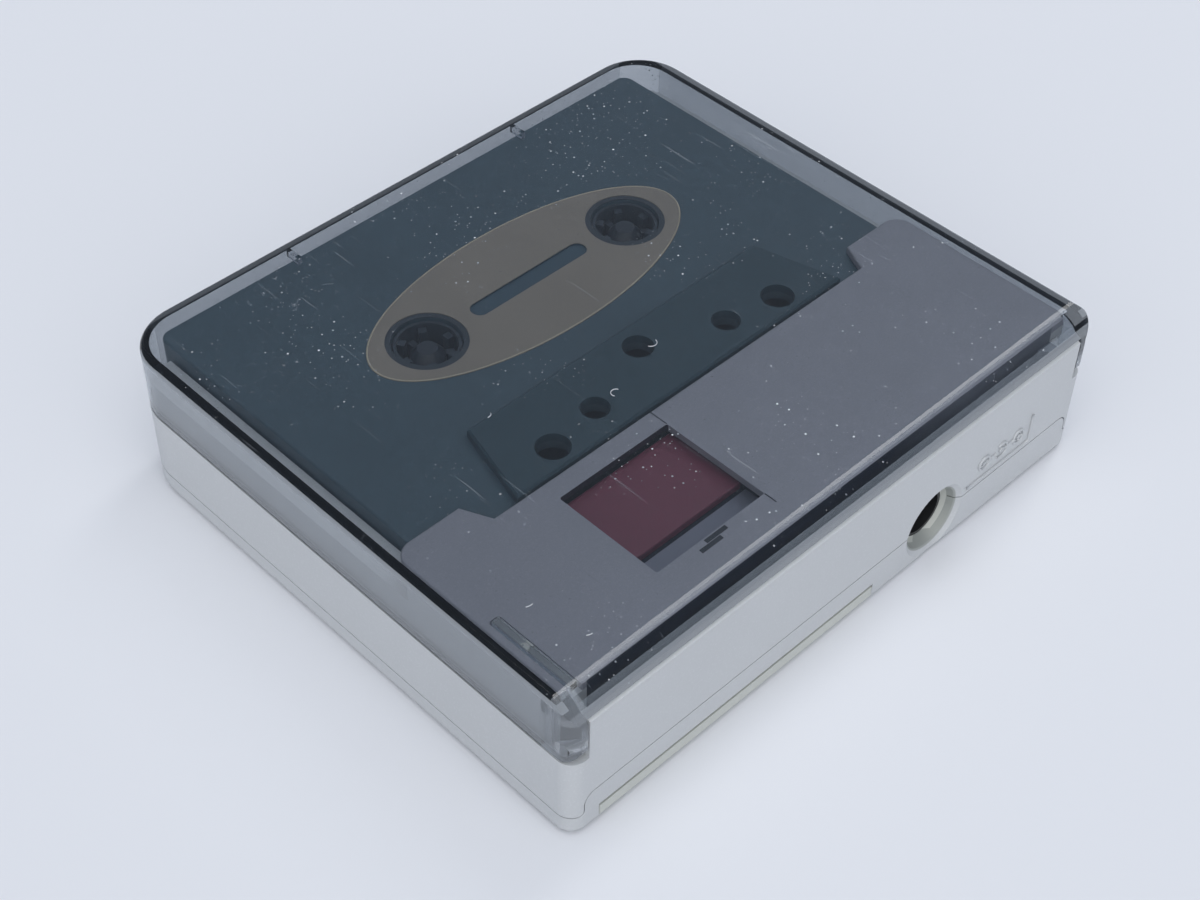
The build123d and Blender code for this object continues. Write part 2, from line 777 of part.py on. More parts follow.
# Upper case: wall up to the ledge, cassette well, back platform, erase pocket and bosses
with BuildPart() as upper_case:
    slab(case_plan(0), parting_side + parting_gap, ledge)
    slab(front_rounded(inner_half, upper_front, platform_front + overrun, lid_inner_corner - side_gap),
         ledge, rim_top)
    slab(rect(-half_width, half_width, -half_depth, -rim_front_end), ledge, rim_top, Mode.SUBTRACT)
    slab(rect(-inner_half, inner_half, platform_front, cheek_front), ledge, platform_top)
    slab(rect(-cheek_half, cheek_half, platform_front, deck_back), ledge, platform_top)
    slab(rect(-cheek_half, cheek_half, platform_front, half_depth), ledge, slot_floor)
    with BuildSketch(Plane.YZ.offset(-cheek_half)) as back_wall_side:
        with Locations((hinge_y, hinge_z)):
            Circle(back_wall_radius)
        add(rect(slot_back, half_depth, hinge_z, lid_under), mode=Mode.INTERSECT)
    extrude(amount=2 * cheek_half)
    # Hollow below
    slab(case_plan(case_wall), parting_side, well_under, Mode.SUBTRACT)
    slab(rect(-inner_half + platform_wall, inner_half - platform_wall,
              platform_front + platform_wall, deck_back - platform_wall),
         well_under - overrun, platform_under, Mode.SUBTRACT)
    slab(rect(-hinge_pin_inner, hinge_pin_inner, deck_back - platform_wall - overrun, back_inner),
         well_under - overrun, slot_floor - slot_skin, Mode.SUBTRACT)
    # Well for the cassette, with the deeper seat for its thick edge
    slab(bulge_plan(bulge_gap + platform_wall), bulge_under, well_under)
    slab(rect(well_left, well_right, upper_front - overrun, platform_front), cassette_floor, lid_under,
         Mode.SUBTRACT)
    slab(bulge_plan(bulge_gap), bulge_floor, cassette_floor + overrun, Mode.SUBTRACT)
    for x in hub_x:
        rod(x, hub_line, spindle_collar + spindle_hole_gap, well_under - overrun,
            cassette_floor + overrun, Mode.SUBTRACT)
    # Pocket of the erase slider, its pin's slot and the arm's pivot boss
    slab(rect(pocket_left - pocket_wall, pocket_right + pocket_wall,
              platform_front, pocket_rear + pocket_wall), pocket_under, platform_under)
    rod(arm_pivot_x, arm_pivot_y, pivot_boss_radius, arm_top + slider_gap, platform_under)
    slab(rect(pocket_left, pocket_right, pocket_front, pocket_rear), pocket_floor, platform_top + overrun,
         Mode.SUBTRACT)
    slab(rect(slider_pin_x - slider_pin_radius - slider_slot_gap,
              slider_pin_x + slider_pin_radius + slider_slot_gap,
              arm_pivot_y - slider_pin_radius - slider_slot_gap,
              arm_pivot_y + slider_travel + slider_pin_radius + slider_slot_gap),
         pocket_under - overrun, pocket_floor + overrun, Mode.SUBTRACT)
    rod(arm_pivot_x, arm_pivot_y, pivot_radius, arm_low, platform_top - platform_skin / 2, Mode.SUBTRACT)
    slab(rect(magnet_x - magnet_width / 2 - magnet_slot_gap,
              magnet_x + magnet_width / 2 + magnet_slot_gap + arm_drop,
              platform_front - overrun, platform_front + platform_wall + overrun),
         magnet_low - magnet_slot_rise, magnet_low + magnet_height + magnet_slot_rise, Mode.SUBTRACT)
    # Bosses for the case screws, the chassis plate and the circuit board
    for x, y in case_screws_at:
        rod(x, y, case_boss_radius, case_seat_top + case_boss_gap, well_under)
    rod(case_screw_back_x, case_screw_back_y, case_boss_radius, well_under, platform_under)
    for x, y in chassis_screws_at:
        rod(x, y, chassis_boss_radius, plate_top, well_under)
        rod(x, y, chassis_screw_radius, plate_top - overrun, plate_low + chassis_screw_length, Mode.SUBTRACT)
    for x, y in case_screws_at:
        rod(x, y, case_screw_radius, case_seat, case_seat + case_screw_length, Mode.SUBTRACT)
    for x, y in board_posts_at:
        rod(x, y, board_post_radius, board_low + board_thick, platform_under)
    # Hinge pin holes, plunger hole, plug recess and the joint with the lower case
    for side in (-1, 1):
        inner = side * hinge_pin_inner
        outer = side * (cheek_half + overrun)
        cross_rod(min(inner, outer), max(inner, outer), hinge_y, hinge_z, hinge_pin_radius, Mode.SUBTRACT)
    rod(plunger_x, plunger_y, plunger_radius + running_clearance, platform_under - overrun,
        platform_top + overrun, Mode.SUBTRACT)
    jack_recess()
    along(raised_back(parting_gap), back_inner - overrun, half_depth + overrun, Mode.SUBTRACT)
    slab(case_plan(lip_inset - lip_gap), parting_side, parting_side + lip_height + lip_gap, Mode.SUBTRACT)
finish(upper_case, "upper_case")

# Deck panel: ears over the cassette, erase window, bar marks, notch for the lid's arm
with BuildPart() as deck_panel:
    with BuildSketch(Plane.XY.offset(platform_top)) as deck_outline:
        with BuildLine():
            Polyline(
                (-deck_half, deck_back), (-deck_half, deck_ear_front),
                (-deck_ear_inner, deck_ear_front), (-deck_mid_half, deck_mid_front),
                (deck_mid_half, deck_mid_front), (deck_ear_inner, deck_ear_front),
                (deck_half, deck_ear_front), (deck_half, deck_back),
                close=True,
            )
        make_face()
        ear_points = deck_outline.vertices().group_by(Axis.Y)[0].sort_by(Axis.X)
        ear_feet = deck_outline.vertices().group_by(Axis.Y)[1]
        fillet([ear_points[0], ear_points[-1]], deck_ear_corner)
        fillet(ear_points[1:-1], deck_ear_round)
        fillet(ear_feet, deck_ear_foot)
        add(rect(window_left, window_right, window_front, window_rear, window_corner), mode=Mode.SUBTRACT)
        add(rect(notch_inner, notch_outer, notch_front, deck_back + overrun, notch_corner),
            mode=Mode.SUBTRACT)
        for side in (-1, 1):
            add(rect(side * (cheek_half + deck_half) / 2 - (deck_half - cheek_half) / 2,
                     side * (cheek_half + deck_half) / 2 + (deck_half - cheek_half) / 2,
                     cheek_front, deck_back + overrun), mode=Mode.SUBTRACT)
    extrude(amount=deck_thick)
    fillet([edge for edge in deck_panel.faces().sort_by(Axis.Z)[-1].outer_wire().edges()
            if edge.center().Y < deck_mid_front + overrun], deck_edge_round)
    slab(rect(window_left - seam_width / 2, window_left + seam_width / 2,
              deck_mid_front - overrun, window_front), deck_top - seam_depth, deck_top + overrun,
         Mode.SUBTRACT)
    slab(rect(window_left - seam_width / 2, window_left + seam_width / 2, window_rear, seam_end),
         deck_top - seam_depth, deck_top + overrun, Mode.SUBTRACT)
finish(deck_panel, "deck_panel")

# Lid: clear shell with ribs, hinge cheeks, blind pin holes and the arm that works the switch
with BuildPart() as lid:
    slab(case_plan(0), skirt_bottom, total_height)
    fillet(lid.faces().sort_by(Axis.Z)[-1].edges(), lid_edge_round)
    slab(front_rounded(lid_inner_half, lid_inner_front, round_y, lid_inner_corner),
         skirt_bottom - overrun, lid_under, Mode.SUBTRACT)
    with BuildSketch(Plane.YZ.offset(-lid_inner_half)) as back_hollow:
        with Locations((round_y, round_z)):
            Circle(inner_round)
        add(rect(round_y - overrun, round_y + inner_round, skirt_bottom - overrun, round_z))
        add(rect(round_y - overrun, half_depth + overrun, skirt_bottom - overrun, lid_back_bottom))
    extrude(amount=2 * lid_inner_half, mode=Mode.SUBTRACT)
    for side in (-1, 1):
        inner = min(side * cheek_inner, side * lid_inner_half)
        outer = max(side * cheek_inner, side * lid_inner_half)
        with BuildSketch(Plane.YZ.offset(inner)) as cheek:
            with Locations((hinge_y, hinge_z)):
                Circle(hinge_round)
            add(rect(hinge_y - hinge_round, half_depth, hinge_z, lid_under))
        extrude(amount=outer - inner)
    with BuildSketch(Plane.YZ.offset(-half_width - overrun)) as back_round:
        add(rect(round_y, half_depth + overrun, round_z, total_height + overrun))
        with Locations((round_y, round_z)):
            Circle(lid_back_round, mode=Mode.SUBTRACT)
    extrude(amount=case_width + 2 * overrun, mode=Mode.SUBTRACT)
    with BuildSketch(Plane.YZ.offset(-half_width - overrun)) as heel:
        add(rect(hinge_y, half_depth + overrun, skirt_bottom - overrun, hinge_z))
        with Locations((hinge_y, hinge_z)):
            Circle(hinge_round, mode=Mode.SUBTRACT)
    extrude(amount=case_width + 2 * overrun, mode=Mode.SUBTRACT)
    for side in (-1, 1):
        start = side * (cheek_inner - overrun)
        end = side * (hinge_pin_outer + pin_end_gap)
        cross_rod(min(start, end), max(start, end), hinge_y, hinge_z,
                  hinge_pin_radius + hinge_pin_clearance, Mode.SUBTRACT)
    for x in (-lid_rib_spacing / 2, lid_rib_spacing / 2):
        slab(rect(x - lid_rib_width / 2, x + lid_rib_width / 2,
                  lid_inner_front, lid_inner_front + lid_rib_length),
             lid_under - lid_rib_depth, lid_under)
    slab(rect(plunger_x - lid_arm_width / 2, plunger_x + lid_arm_width / 2,
              notch_front + side_gap, round_y + side_gap), lid_arm_low, lid_under)
finish(lid, "lid")

# Hinge pins pressed into the case
with BuildPart() as hinge_pins:
    cross_rod(-hinge_pin_outer, -hinge_pin_inner, hinge_y, hinge_z, hinge_pin_radius)
    cross_rod(hinge_pin_inner, hinge_pin_outer, hinge_y, hinge_z, hinge_pin_radius)
finish(hinge_pins, "hinge_pins")

# Lid switch under the deck and the plunger that the lid's arm pushes
with BuildPart() as lid_switch:
    switch_wall = inner_half - platform_wall
    slab(rect(switch_left, switch_wall, switch_front, switch_front + switch_length),
         switch_top - switch_height, switch_top)
    slab(rect(plunger_x - leaf_half_width, plunger_x + leaf_half_width,
              switch_front + overrun, plunger_y + leaf_reach / 2), leaf_top - leaf_thick, leaf_top)
    slab(rect(plunger_x - leaf_half_width, plunger_x + leaf_half_width,
              switch_front + overrun, switch_front + 2 * overrun), switch_top, leaf_top)
finish(lid_switch, "lid_switch")

with BuildPart() as switch_plunger:
    rod(plunger_x, plunger_y, plunger_radius, plunger_low, plunger_top)
finish(switch_plunger, "switch_plunger")

# Battery door with tongues and a gripping lip, and the rubber foot under it
with BuildPart() as battery_door:
    slab(rect(door_left + door_tongue, door_right - door_tongue, door_front, half_depth),
         case_bottom, door_top)
    slab(rect(door_left, door_right, door_front, back_inner - door_gap),
         door_top - door_tongue_thick, door_top)
    slab(rect(door_left, door_right, half_depth - door_lip_thick, half_depth),
         case_bottom, case_bottom + door_lip_height)
    chamfer(battery_door.faces().sort_by(Axis.Y)[-1].edges().group_by(Axis.Z)[0], bottom_chamfer)
    for index in range(door_grip_count):
        y = half_depth - door_grip_inset - index * door_grip_pitch
        slab(rect(door_centre - door_grip_length / 2, door_centre + door_grip_length / 2,
                  y - door_grip_width, y), 0, case_bottom + door_grip_depth, Mode.SUBTRACT)
    rod(foot_x, door_foot_y, foot_radius, 0, case_bottom + foot_sink, Mode.SUBTRACT)
finish(battery_door, "battery_door")

with BuildPart() as door_foot:
    rod(foot_x, door_foot_y, foot_radius, 0, case_bottom + foot_sink)
    fillet(door_foot.faces().sort_by(Axis.Z)[0].edges(), foot_edge)
finish(door_foot, "door_foot")

with BuildPart() as rubber_feet:
    for x, y in feet_at:
        rod(x, y, foot_radius, 0, case_bottom + foot_sink)
    fillet(rubber_feet.edges().group_by(Axis.Z)[0], foot_edge)
finish(rubber_feet, "rubber_feet")

# Battery cradle: two vaulted channels over the door opening
with BuildPart() as battery_cradle:
    with BuildSketch(mode=Mode.PRIVATE) as vaults:
        with Locations((cell_front_y, cell_z), (cell_back_y, cell_z)):
            Circle(vault_radius)
        add(rect(cradle_front, back_inner, floor_top, cell_z))
        add(rect(cradle_front, back_inner, floor_top, cell_z + vault_radius + overrun),
            mode=Mode.INTERSECT)
    with BuildSketch(mode=Mode.PRIVATE) as channels:
        with Locations((cell_front_y, cell_z), (cell_back_y, cell_z)):
            Circle(channel_radius)
        add(rect(cell_front_y - channel_radius, cell_back_y + channel_radius, 0, cell_z))
    across(vaults.sketch, cradle_left, cradle_right)
    across(channels.sketch, cradle_left + cradle_end, cradle_right - cradle_end, Mode.SUBTRACT)
    slab(rect(cradle_left - cradle_flange, cradle_left, cradle_front - cradle_flange, back_inner),
         floor_top, floor_top + cradle_flange_thick)
    slab(rect(cradle_right, cradle_right + cradle_flange, cradle_front - cradle_flange, back_inner),
         floor_top, floor_top + cradle_flange_thick)
    slab(rect(cradle_left, cradle_right, cradle_front - cradle_flange, cradle_front),
         floor_top, floor_top + cradle_flange_thick)
finish(battery_cradle, "battery_cradle")

# Two AA cells lying opposite ways
with BuildPart() as battery_cells:
    cross_rod(cell_left, cell_right - cell_button_length, cell_front_y, cell_z, cell_radius)
    cross_rod(cell_right - cell_button_length, cell_right, cell_front_y, cell_z, cell_button_radius)
    cross_rod(cell_left + cell_button_length, cell_right, cell_back_y, cell_z, cell_radius)
    cross_rod(cell_left, cell_left + cell_button_length, cell_back_y, cell_z, cell_button_radius)
finish(battery_cells, "battery_cells")

# Contact plates at the cells' ends, each with a leaf pressed on its cell
with BuildPart() as battery_contacts:
    for y in (cell_front_y, cell_back_y):
        for wall, side, cell_end in ((cradle_left + cradle_end, 1, cell_left),
                                     (cradle_right - cradle_end, -1, cell_right)):
            plate = wall + side * contact_thick
            across(rect(y - contact_half, y + contact_half, cell_z - contact_half, cell_z + contact_half),
                   min(wall, plate), max(wall, plate))
            across(rect(y - contact_leaf_half, y + contact_leaf_half,
                        cell_z - contact_thick, cell_z + contact_thick),
                   min(plate, cell_end), max(plate, cell_end))
finish(battery_contacts, "battery_contacts")

# Power jack in its cup behind the back wall
with BuildPart() as jack_shroud:
    wall_radius = jack_recess_inner + jack_slope * (back_inner - jack_face)
    back_cone(jack_face - shroud_skin, back_inner, jack_recess_inner + shroud_skin,
              wall_radius + shroud_skin)
    back_cone(jack_face, back_inner + overrun, jack_recess_inner, wall_radius + jack_slope * overrun,
              Mode.SUBTRACT)
    back_rod(jack_face - 2 * shroud_skin, jack_face + overrun, jack_nose_radius + jack_nose_gap,
             Mode.SUBTRACT)
    slab(rect(jack_x - 2 * jack_recess_outer, jack_x + 2 * jack_recess_outer,
              jack_face - 2 * shroud_skin, half_depth + overrun),
         -overrun - jack_recess_outer, floor_top, Mode.SUBTRACT)
finish(jack_shroud, "jack_shroud")

with BuildPart() as dc_jack:
    jack_front = jack_face - shroud_skin
    jack_mouth = jack_front + jack_nose_length
    slab(rect(jack_x - jack_half_width, jack_x + jack_half_width, jack_front - jack_length, jack_front),
         floor_top, jack_z + jack_half_width)
    back_rod(jack_front, jack_mouth, jack_nose_radius)
    back_rod(jack_mouth - jack_mouth_length, jack_mouth + overrun, jack_mouth_radius, Mode.SUBTRACT)
    back_rod(jack_mouth - jack_mouth_length - jack_barrel_length, jack_mouth, jack_barrel_radius,
             Mode.SUBTRACT)
    back_rod(jack_front - jack_length, jack_mouth - jack_mouth_length - jack_pin_sink, jack_pin_radius)
    for x in (jack_x - jack_half_width / 2, jack_x + jack_half_width / 2):
        rod(x, jack_front - jack_length / 2, jack_pin_radius, jack_z + jack_half_width, board_low)
finish(dc_jack, "dc_jack")

# Circuit board hung from the platform, with its parts on the under side
with BuildPart() as circuit_board:
    slab(rect(board_left, board_right, board_front, board_back), board_low, board_low + board_thick)
finish(circuit_board, "circuit_board")

with BuildPart() as board_parts:
    board_top = board_low + board_thick
    board_mid_x = (board_left + board_right) / 2
    rod(board_left + cap_radius + board_post_inset, board_back - cap_radius - board_post_inset,
        cap_radius, board_top, board_top + cap_height)
    slab(rect(board_mid_x - chip_length / 2, board_mid_x + chip_length / 2,
              board_front + chip_front, board_front + chip_front + chip_depth),
         board_top, board_top + chip_height)
    for index in range(3):
        cross_rod(board_right - board_post_inset - resistor_length, board_right - board_post_inset,
                  board_front + resistor_front + index * resistor_pitch,
                  board_top + resistor_radius, resistor_radius)
finish(board_parts, "board_parts")

# Motor standing on the chassis plate, its shaft and pulley hanging below
with BuildPart() as motor_can:
    rod(motor_x, motor_y, motor_radius, plate_top, plate_top + motor_height)
    fillet(motor_can.faces().sort_by(Axis.Z)[-1].edges(), motor_edge)
    rod(motor_x, motor_y, motor_nose_radius, plate_top - motor_nose_height, plate_top)
    rod(motor_x, motor_y, motor_shaft_radius + running_clearance, plate_low,
        plate_top + motor_shaft_depth, Mode.SUBTRACT)
finish(motor_can, "motor_can")

with BuildPart() as motor_cap:
    rod(motor_x, motor_y, motor_cap_radius, plate_top + motor_height,
        plate_top + motor_height + motor_cap_height)
finish(motor_cap, "motor_cap")

with BuildPart() as motor_pulley:
    pulley_high = belt_disc_low + belt_disc_thick
    groove_low = belt_disc_low + (belt_disc_thick - belt_groove_width) / 2
    rod(motor_x, motor_y, motor_pulley_radius, belt_disc_low, pulley_high)
    with BuildSketch(Plane.XY.offset(groove_low)) as motor_groove:
        with Locations((motor_x, motor_y)):
            Circle(motor_pulley_radius + overrun)
            Circle(motor_pulley_radius - belt_groove_depth, mode=Mode.SUBTRACT)
    extrude(amount=belt_groove_width, mode=Mode.SUBTRACT)
    rod(motor_x, motor_y, motor_shaft_radius, motor_shaft_low, plate_top + motor_shaft_depth - gear_end_gap)
finish(motor_pulley, "motor_pulley")


def belt_outline(grow):
    """Straight-sided loop round the belt pulley and the motor pulley."""
    with BuildSketch(mode=Mode.PRIVATE) as outline:
        with Locations((pulley_x, pulley_y)):
            Circle(belt_big + grow)
        with Locations((motor_x, motor_y)):
            Circle(belt_small + grow)
        make_hull()
    return outline.sketch


with BuildPart() as drive_belt:
    slab(belt_outline(belt_width), belt_low, belt_low + belt_width)
    slab(belt_outline(0), belt_low - overrun, belt_low + belt_width + overrun, Mode.SUBTRACT)
finish(drive_belt, "drive_belt")


def gear_plan(x, y, teeth, phase):
    """Gear outline: involute flanks on straight root and tip lines, one tooth at the phase angle."""
    pitch = gear_module * teeth / 2
    base = pitch * cos(radians(pressure_angle))
    tip = pitch + addendum_share * gear_module
    root = pitch - dedendum_share * gear_module
    start = max(base, root)
    half_tooth = (pi * gear_module - backlash) / (4 * pitch)
    spread = tan(radians(pressure_angle)) - radians(pressure_angle)
    flank = [(root, half_tooth + spread)]
    for share in flank_shares:
        radius = start + share * (tip - start)
        turn = acos(min(base / radius, 1))
        flank.append((radius, half_tooth + spread - (tan(turn) - turn)))
    points = []
    for index in range(teeth):
        middle = radians(phase) + 2 * pi * index / teeth
        for radius, half in flank:
            points.append((x + radius * cos(middle - half), y + radius * sin(middle - half)))
        for radius, half in reversed(flank):
            points.append((x + radius * cos(middle + half), y + radius * sin(middle + half)))
    with BuildSketch(mode=Mode.PRIVATE) as outline:
        with BuildLine():
            Polyline(*points, close=True)
        make_face()
    return outline.sketch


def meshed_phase(teeth, phase, bearing, partner_teeth):
    """Phase that turns a partner gear so that its gap faces a tooth of the first gear."""
    return bearing + 180 - (phase - bearing) * teeth / partner_teeth + 180 / partner_teeth


idler_phase = meshed_phase(drive_teeth, 0, drive_to_idler, idler_teeth)
pinion_phase = meshed_phase(idler_teeth, idler_phase, idler_to_pinion, pinion_teeth)

# Gear train: belt pulley with its pinion, idler, and the gear on the take-up spindle
with BuildPart() as belt_pulley:
    slab(gear_plan(pulley_x, pulley_y, pinion_teeth, pinion_phase), gear_low, gear_low + gear_thick)
    rod(pulley_x, pulley_y, gear_hub_radius, gear_low + gear_thick, hub_end)
    rod(pulley_x, pulley_y, belt_disc_radius, belt_disc_low, belt_disc_low + belt_disc_thick)
    with BuildSketch(Plane.XY.offset(groove_low)) as disc_groove:
        with Locations((pulley_x, pulley_y)):
            Circle(belt_disc_radius + overrun)
            Circle(belt_disc_radius - belt_groove_depth, mode=Mode.SUBTRACT)
    extrude(amount=belt_groove_width, mode=Mode.SUBTRACT)
    rod(pulley_x, pulley_y, axle_radius + running_clearance, gear_low - overrun, plate_low, Mode.SUBTRACT)
finish(belt_pulley, "belt_pulley")

with BuildPart() as idler_gear:
    slab(gear_plan(idler_x, idler_y, idler_teeth, idler_phase), gear_low, gear_low + gear_thick)
    rod(idler_x, idler_y, axle_radius + running_clearance, gear_low - overrun, plate_low, Mode.SUBTRACT)
finish(idler_gear, "idler_gear")

with BuildPart() as drive_gear:
    slab(gear_plan(take_up_x, hub_line, drive_teeth, 0), gear_low, gear_low + gear_thick)
    rod(take_up_x, hub_line, gear_hub_radius + spindle_shaft / 2, gear_low + gear_thick,
        bush_low - gear_end_gap)
    rod(take_up_x, hub_line, spindle_shaft, gear_low - overrun, plate_low, Mode.SUBTRACT)
finish(drive_gear, "drive_gear")

# Axles riveted to the plate, the idler's with a shoulder, and the clips below the gears
with BuildPart() as gear_axles:
    for x, y in ((idler_x, idler_y), (pulley_x, pulley_y)):
        rod(x, y, axle_radius, axle_low, plate_top)
        rod(x, y, rivet_radius, plate_top, plate_top + rivet_height)
    rod(idler_x, idler_y, axle_radius + gear_end_gap, gear_low + gear_thick + clip_gap, plate_low)
finish(gear_axles, "gear_axles")

with BuildPart() as axle_clips:
    for x, y in ((idler_x, idler_y), (pulley_x, pulley_y)):
        rod(x, y, clip_radius, axle_low + clip_gap, axle_low + clip_gap + clip_thick)
        rod(x, y, axle_radius, axle_low, plate_low, Mode.SUBTRACT)
finish(axle_clips, "axle_clips")


def spindle_head(x):
    """Collar on the bush, then a core with three fins and a tapered tip inside the hub."""
    shoulder = spindle_top - spindle_tip_height
    rod(x, hub_line, spindle_collar, bush_high + clip_gap, cassette_floor)
    rod(x, hub_line, spindle_core, cassette_floor, shoulder)
    with Locations((x, hub_line, shoulder)):
        Cone(spindle_core, spindle_tip, spindle_tip_height, align=(Align.CENTER, Align.CENTER, Align.MIN))
    with BuildSketch(mode=Mode.PRIVATE) as fins:
        with PolarLocations(0, spindle_fins, start_angle=180 / hub_teeth):
            Rectangle(spindle_fin_reach, spindle_fin_width, align=(Align.MIN, Align.CENTER))
    slab(fins.sketch.moved(Location((x, hub_line))), cassette_floor, shoulder)


def hub(x):
    """Cassette hub: a ring with teeth pointing inwards and a collar at each end."""
    low = cassette_floor + cassette_skin + hub_float
    high = cassette_top - cassette_skin - hub_float
    rod(x, hub_line, hub_radius, low, high)
    rod(x, hub_line, hub_collar_radius, low - hub_collar_rise, high + hub_collar_rise)
    rod(x, hub_line, hub_bore, low - overrun, high + overrun, Mode.SUBTRACT)
    with BuildSketch(mode=Mode.PRIVATE) as teeth:
        with PolarLocations(0, hub_teeth):
            with Locations((hub_bore - hub_tooth_reach, 0)):
                Rectangle(hub_tooth_reach + hub_collar_rise / 2, hub_tooth_width,
                          align=(Align.MIN, Align.CENTER))
    slab(teeth.sketch.moved(Location((x, hub_line))), low, high)


def tape_pack(x, radius):
    """Tape wound on a hub."""
    rod(x, hub_line, radius, tape_low, tape_high)
    rod(x, hub_line, hub_radius, tape_low - overrun, tape_high + overrun, Mode.SUBTRACT)


def roller_place(side):
    """Middle of the guide roller on one side of the cassette."""
    return cassette_centre + side * (cassette_length / 2 - roller_inset_x), tape_edge - roller_inset_y


def tape_points(side, radius):
    """Path of the tape from its pack round the roller on one side, a small gap away from both."""
    away = tape_clear + tape_thick / 2
    hub_at = cassette_centre + side * hub_spacing / 2
    roller_at, roller_line = roller_place(side)
    run_x = roller_at - hub_at
    run_y = roller_line - hub_line
    heading = atan2(run_y, run_x)
    lean = acos((radius - roller_radius) / sqrt(run_x**2 + run_y**2))
    normal = heading - side * lean
    points = [(hub_at + (radius + away) * cos(normal), hub_line + (radius + away) * sin(normal))]
    finish_angle = pi / 2
    for step in range(tape_steps + 1):
        angle = normal + (finish_angle - normal) * step / tape_steps
        points.append((roller_at + (roller_radius + away) * cos(angle),
                       roller_line + (roller_radius + away) * sin(angle)))
    return points


# Spindles, their bushes and the felt that brakes the supply side
with BuildPart() as take_up_spindle:
    rod(take_up_x, hub_line, spindle_shaft, spindle_low, bush_high + clip_gap)
    spindle_head(take_up_x)
finish(take_up_spindle, "take_up_spindle")

with BuildPart() as supply_spindle:
    rod(supply_x, hub_line, spindle_shaft, supply_low, bush_high + clip_gap)
    rod(supply_x, hub_line, brake_disc_radius, supply_low, supply_low + brake_disc_thick)
    spindle_head(supply_x)
finish(supply_spindle, "supply_spindle")

with BuildPart() as brake_felt:
    rod(supply_x, hub_line, felt_outer, supply_low + brake_disc_thick + felt_gap, plate_low)
    rod(supply_x, hub_line, felt_inner, supply_low, plate_low + overrun, Mode.SUBTRACT)
finish(brake_felt, "brake_felt")

with BuildPart() as spindle_bushes:
    for x in hub_x:
        rod(x, hub_line, bush_radius, bush_low, bush_high)
        rod(x, hub_line, spindle_shaft + running_clearance, bush_low - overrun, bush_high + overrun,
            Mode.SUBTRACT)
finish(spindle_bushes, "spindle_bushes")

# Chassis plate that carries the spindles, axles and motor, and its screws
with BuildPart() as chassis_plate:
    with BuildSketch(Plane.XY.offset(plate_low)) as plate_outline:
        add(rect(-plate_half, plate_half, plate_front, plate_back, plate_corner))
        add(rect(plate_tab_left, plate_tab_right, plate_back - plate_half / 2, plate_tab_back, plate_corner))
        with Locations((motor_x, motor_y), (pulley_x, pulley_y), (idler_x, idler_y)):
            Circle(axle_radius, mode=Mode.SUBTRACT)
        with Locations((motor_x, motor_y)):
            Circle(motor_nose_radius, mode=Mode.SUBTRACT)
        with Locations((hub_x[0], hub_line), (hub_x[1], hub_line)):
            Circle(bush_radius, mode=Mode.SUBTRACT)
        with Locations(*chassis_screws_at):
            Circle(chassis_screw_radius, mode=Mode.SUBTRACT)
    extrude(amount=plate_thick)
finish(chassis_plate, "chassis_plate")

with BuildPart() as chassis_screws:
    for x, y in chassis_screws_at:
        rod(x, y, chassis_screw_radius, plate_low, plate_low + chassis_screw_length)
        rod(x, y, chassis_head_radius, plate_low - chassis_head_height, plate_low)
finish(chassis_screws, "chassis_screws")

with BuildPart() as case_screws:
    for x, y in case_screws_at:
        rod(x, y, case_screw_radius, case_seat - case_head_height, case_seat + case_screw_length)
        rod(x, y, case_head_radius, case_seat - case_head_height, case_seat)
finish(case_screws, "case_screws")

# Erase slider: the red plate in the window, with the pin that turns the magnet arm
with BuildPart() as erase_slider:
    slab(rect(slider_left, slider_right, slider_front, slider_front + slider_length),
         slider_low, slider_top)
    fillet(erase_slider.faces().sort_by(Axis.Z)[-1].edges(), slider_edge)
    rod(slider_pin_x, arm_pivot_y, slider_pin_radius, slider_pin_low, slider_low)
finish(erase_slider, "erase_slider")

# Magnet arm on its pivot, with the magnet on the short end
with BuildPart() as magnet_arm:
    with BuildSketch(mode=Mode.PRIVATE) as arm_outline:
        slot_start = arm_in - arm_slot_gap
        slot_end = arm_reach_far + arm_slot_gap
        slot_half_width = slider_pin_radius + arm_slot_gap
        with Locations((0, 0)):
            Circle(arm_eye)
        with Locations(((slot_start + slot_end) / 2, 0)):
            SlotCenterToCenter(slot_end - slot_start, 2 * (slot_half_width + arm_slot_wall))
        with Locations((-arm_out, magnet_depth - arm_drop)):
            Rectangle(magnet_width, magnet_depth)
        make_hull()
        with Locations((-arm_out, -arm_drop)):
            Rectangle(magnet_width, magnet_depth, mode=Mode.SUBTRACT)
        with Locations(((slot_start + slot_end) / 2, 0)):
            SlotCenterToCenter(slot_end - slot_start, 2 * slot_half_width, mode=Mode.SUBTRACT)
        Circle(pivot_radius + pivot_clearance, mode=Mode.SUBTRACT)
    slab(arm_outline.sketch.moved(Location((arm_pivot_x, arm_pivot_y))), arm_low, arm_top)
finish(magnet_arm, "magnet_arm")

with BuildPart() as erase_magnet:
    slab(rect(magnet_x - magnet_width / 2, magnet_x + magnet_width / 2,
              magnet_y - magnet_depth / 2, magnet_y + magnet_depth / 2),
         magnet_low, magnet_low + magnet_height)
finish(erase_magnet, "erase_magnet")

with BuildPart() as arm_pivot:
    rod(arm_pivot_x, arm_pivot_y, pivot_radius, arm_low, platform_top - platform_skin / 2)
    rod(arm_pivot_x, arm_pivot_y, pivot_head, arm_low - pivot_head_gap - pivot_head_thick,
        arm_low - pivot_head_gap)
    rod(arm_pivot_x, arm_pivot_y, pivot_radius, arm_low - pivot_head_gap, arm_low)
finish(arm_pivot, "arm_pivot")


